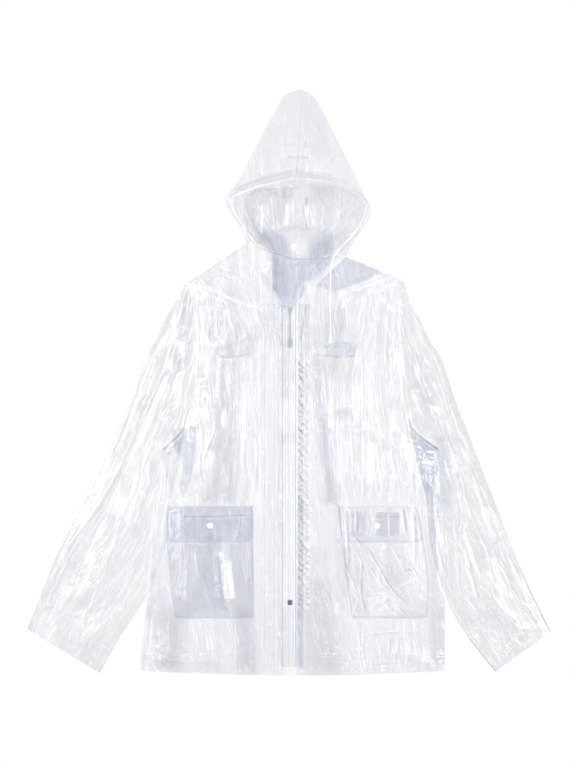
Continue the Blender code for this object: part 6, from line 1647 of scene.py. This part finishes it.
def make_drawstring(side):
    """A free cord that lies on what is under it, and its conical tip."""
    names = [f"front_{side}_film", f"neck_band_{side}_film", f"hood_{side}_film"]
    trees = surface_tree(names + ["placket_right_film"] * (side == "right"))
    places = along(CORD_ROUTES[side], np.linspace(0, 1, CORD_STEPS))
    levels = [top_at(trees, x, y, 2 * CORD_RADIUS) for x, y in places]
    high = [max(levels[max(0, k - 2):k + 3]) + 0.5 + CORD_RADIUS for k in range(CORD_STEPS)]
    for _ in range(3):
        high = [max((high[max(0, k - 1)] + high[k] + high[min(CORD_STEPS - 1, k + 1)]) / 3, high[k] - 0.3)
                for k in range(CORD_STEPS)]
    points = np.column_stack([places, high]) * MM
    curve = bpy.data.curves.new(f"drawstring_{side}_cord", "CURVE")
    curve.dimensions = "3D"
    curve.bevel_depth = CORD_RADIUS * MM
    curve.bevel_resolution = 3
    curve.use_fill_caps = True
    line = curve.splines.new("POLY")
    line.points.add(len(points) - 1)
    for point, place in zip(line.points, points):
        point.co = (*place, 1)
    curve.materials.append(CORD_LOOK[side])
    made = bpy.data.objects.new(f"drawstring_{side}_cord", curve)
    bpy.context.scene.collection.objects.link(made)
    way = points[-1] - points[-3]
    way[2] = 0
    way /= np.linalg.norm(way)
    low, high = (np.array(c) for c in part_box(f"drawstring_tip_{side}"))
    start = points[-1] / MM + way * 0.3
    start[2] = max(start[2], (low[2] + high[2]) / 2 / MM)
    side_way = np.array((-way[1], way[0], 0))
    up = np.array((0, 0, 1.0))
    angles = 2 * math.pi * np.arange(TIP_SIDES) / TIP_SIDES
    rows = [start + way * d + r * (np.outer(np.cos(angles), side_way) + np.outer(np.sin(angles), up))
            for d, r in TIP_PROFILE]
    ends = [[start + way * TIP_PROFILE[k][0]] for k in (0, -1)]
    vertices = np.vstack(rows + ends)
    faces, n, s = [], len(TIP_PROFILE), TIP_SIDES
    for k in range(s):
        m = (k + 1) % s
        faces += [(r * s + k, r * s + m, (r + 1) * s + m, (r + 1) * s + k) for r in range(n - 1)]
        faces += [(n * s, m, k), (n * s + 1, (n - 1) * s + k, (n - 1) * s + m)]
    tip = placed(f"drawstring_tip_{side}_cone", vertices, faces, CORD_LOOK[side])
    for piece, node in ((made, f"drawstring_{side}"), (tip, f"drawstring_tip_{side}")):
        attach(piece, BODY)
        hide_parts(node)


def make_hanger_loop():
    shares = np.linspace(0, 1, 41)
    top = np.stack([-19 + 49 * shares, 291 + 10 * np.sin(math.pi * shares)], -1)
    across = np.linspace(0, 1, 9)
    foot = np.stack([top[:, 0], 285.5 + 1.0 * np.sin(math.pi * shares)], -1)
    xy = top[:, None] + (foot - top)[:, None] * across[:, None]
    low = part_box("hanger_loop")[0][2] / MM
    trees = surface_tree(["hood_right_film", "hood_left_film"])
    seat = np.array([[top_at(trees, x, y, 0) for x, y in row] for row in xy[::5, ::4]])
    z = np.full(xy.shape[:2], min(seat.max(), low + 2) + 0.8)
    # painted highlight along the loop's upper edge
    rim = np.exp(-((across / 0.12) ** 2)) + 0 * z
    made = film_grid("hanger_loop_film", np.dstack([xy, z]), FILM_DOUBLE, 0.30 + 0 * z, 0.0, -0.8 * rim)
    wear(made, ["hanger_loop"])


CORD_LOOK = {
    "right": solid_material("drawstring_smoke", (0.60, 0.62, 0.66), 0.35, grain=90, coat=0.2),
    "left": solid_material("drawstring_white", (0.86, 0.87, 0.90), 0.35, grain=90, coat=0.2)}

make_back()
for wing in SIDES:
    make_sleeve(wing)
    make_hood_half(wing)
    make_front(wing)
    make_neck_band(wing)
    make_pocket(wing)
make_placket_left()
strip("placket_right_film", PLACKET_R, PLACKET_ENDS, PLACKET_Z + MIDWALL, STRIP_FILM,
      "placket_right",
      lines=((-45.8, 0, 0.5), (-43.9, 0.4, 0), (-27.6, 0, 0.5), (-25.6, 0.4, 0), (-17.0, 0.3, 0),
             (-13.3, 0, 0.3)))
strip("zip_tape_right_cloth", (ZIP_X - 0.2 - TAPE_WIDE, ZIP_X - 0.2), TAPE_ENDS[::-1], TAPE_Z + MIDWALL,
      TAPE_FILM,
      "zip_tape_right", cling=0.12, shade=0.25, seed=530,
      lines=((-12.4, 0, 0.6), (-10.2, 0.3, 0), (-6.8, 0, 0.4), (-4.4, 0.7, 0), (-2.2, 0, 0.4)))
strip("zip_tape_left_cloth", (ZIP_X + 0.2, ZIP_X + 0.2 + TAPE_WIDE), TAPE_ENDS[::-1], TAPE_Z + MIDWALL,
      TAPE_FILM,
      "zip_tape_left", cling=0.1, shade=0.1, seed=540,
      lines=((5.6, 0.5, 0), (7.6, 0, 0.6), (9.6, 0.5, 0), (12.2, 0, 1.8)))
make_teeth()
make_snaps()
make_hanger_loop()
for wing in SIDES:
    make_drawstring(wing)

SEAM_LINES = (
    ("hood_centre_top", 2.2, ("hood_right_film", "hood_left_film"),
     ((11.2, 386), (14.2, 403), (17, 450), (20.2, 503), (23.4, 540), (23.6, 552))),
    ("neck_right", 2.2, ("hood_right_film", "back_panel_film"), ((-62, 254), (-30, 245), (7, 233))),
    ("neck_left", 2.2, ("hood_left_film", "back_panel_film"), ((11, 233), (60, 236), (90, 237.5))),
    ("hood_centre_back", 2.2, ("hood_right_film", "hood_left_film"),
     ((9.2, 232), (9.5, 270), (10, 307), (11.5, 350), (12.6, 375))),
    ("shoulder_right", 2.4, ("front_right_film", "back_panel_film"),
     ((-186, 191), (-133, 226.5), (-82, 260.5))),
    ("shoulder_left", 2.4, ("front_left_film", "back_panel_film"), ((208, 193), (158, 214.8), (109, 236))),
    ("armhole_right", 2.6, ("front_right_film", "sleeve_right_film"),
     [(x, y) for y, x in ARMHOLE_R[:2:-1]]),
    ("armhole_left", 2.6, ("front_left_film", "sleeve_left_film"), [(x, y) for y, x in ARMHOLE_L[:2:-1]]))


def make_seam(name, half, over, points):
    """A sewn seam: a narrow welt that lies over the join of two panels, with a dark line down its middle and
    painted highlights along its sides.
    """
    line = spline(points, 12)
    total = np.r_[0, np.cumsum(np.linalg.norm(np.diff(line, axis=0), axis=1))]
    at = np.linspace(0, total[-1], max(8, int(total[-1] / 3)))
    line = np.stack([np.interp(at, total, line[:, k]) for k in (0, 1)], -1)
    way = np.gradient(line, axis=0)
    way /= np.linalg.norm(way, axis=1)[:, None]
    off = np.stack([-way[:, 1], way[:, 0]], -1)
    across = np.array((-1, -0.8, -0.5, -0.2, 0, 0.2, 0.5, 0.8, 1.0))
    xy = line[:, None] + off[:, None] * (across * half)[:, None]
    trees = surface_tree(over)
    seat = np.array([[top_at(trees, x, y, 0) for x, y in row[::2]] for row in xy]).max(1)
    seat = np.array([seat[max(0, k - 1):k + 2].max() for k in range(len(seat))])
    shape = 0.45 * np.exp(-((np.abs(across) - 0.5) / 0.28) ** 2)
    z = seat[:, None] + 0.25 + shape
    # a dark middle line, and painted highlights along both sides
    mark = np.exp(-((across + 0.1) / 0.2) ** 2) + 0 * z
    light = np.exp(-((np.abs(across - 0.1) - 0.55) / 0.25) ** 2) + 0 * z
    down = np.linspace(0, 1, len(line))[:, None]
    faint = 0.7  # how strongly its line shows
    if "top" in name:
        faint = 0.4 + 0.8 * smooth((0.85 - down) / 0.25)
    elif "armhole" in name:
        faint = 0.45 * smooth((0.95 - down) / 0.4)
    elif "neck" in name:
        faint = 0.3
    made = film_grid(f"seam_{name}", np.dstack([xy, z]), STRIP_FILM, 0.0, 0.0,
                     faint * (1.8 * mark - 0.6 * light), relief=0.2)
    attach(made, BODY)


for row in SEAM_LINES:
    make_seam(*row)
dress("zip_box", STOP)
dress("zip_slider", METAL)
dress("zip_pull_tab", DARK)


# ---------------------------------------------------------------- floor, lights and world
def floor_material():
    mat = bpy.data.materials.new("studio_floor")
    mat.use_nodes = True
    tree = mat.node_tree
    tree.nodes.clear()
    out = node_of(tree, "ShaderNodeOutputMaterial")
    glow = node_of(tree, "ShaderNodeEmission", Strength=1.0)
    glow.inputs["Color"].default_value = (1, 1, 1, 1)
    tree.links.new(glow.outputs[0], out.inputs["Surface"])
    return mat


FLOOR_HALF, FLOOR_Z = 4000, -1.0
floor = placed("studio_floor", [(x * FLOOR_HALF, y * FLOOR_HALF, FLOOR_Z)
                                for x, y in ((-1, -1), (1, -1), (1, 1), (-1, 1))],
               [(0, 1, 2, 3)], floor_material(), shade_smooth=False)


def softbox(name, place, size, radiance, aim=(0, 0, 0)):
    """A soft rectangular light that faces the jacket."""
    data = bpy.data.lights.new(name, "AREA")
    data.shape = "RECTANGLE"
    data.size, data.size_y = size
    data.energy = radiance * math.pi * size[0] * size[1]
    made = bpy.data.objects.new(name, data)
    bpy.context.scene.collection.objects.link(made)
    made.location = place
    made.rotation_euler = (Vector(aim) - Vector(place)).to_track_quat("-Z", "Y").to_euler()


LIGHTS = (  # (name, place in m, size in m, radiance)
    ("light_left", (-1.7, 0.5, 2.1), (0.7, 2.4), 8.0), ("light_right", (1.8, -0.3, 2.2), (0.6, 2.4), 8.0),
    ("light_near_left", (-1.1, -0.6, 3.2), (0.25, 1.4), 6.0),
    ("light_near_right", (1.0, 0.7, 3.2), (0.25, 1.4), 6.0),
    ("light_top", (0.3, 2.0, 1.7), (2.2, 0.4), 8.0), ("light_low", (-0.2, -2.0, 1.6), (1.8, 0.35), 5.0))
for light in LIGHTS:
    softbox(*light)

world = bpy.data.worlds.new("studio")
world.use_nodes = True
sky = world.node_tree
way_in = node_of(sky, "ShaderNodeTexCoord")
parts = node_of(sky, "ShaderNodeSeparateXYZ")
sky.links.new(way_in.outputs["Generated"], parts.inputs[0])
ramp = node_of(sky, "ShaderNodeValToRGB")
sky.links.new(parts.outputs["Z"], ramp.inputs["Fac"])
stops = ((0.0, 0.85), (0.12, 0.80), (0.40, 0.30), (0.86, 0.22), (0.955, 0.70), (1.0, 0.86))
while len(ramp.color_ramp.elements) < len(stops):
    ramp.color_ramp.elements.new(0.5)
for element, (at, grey) in zip(ramp.color_ramp.elements, stops):
    element.position = at
    element.color = (grey * 0.97, grey * 0.98, grey, 1)
sky.links.new(ramp.outputs["Color"], sky.nodes["Background"].inputs["Color"])
sky.nodes["Background"].inputs["Strength"].default_value = 1.0
scene = bpy.context.scene
scene.world = world
scene.view_settings.view_transform = "Standard"
scene.cycles.transparent_max_bounces = 40
scene.cycles.max_bounces = 10
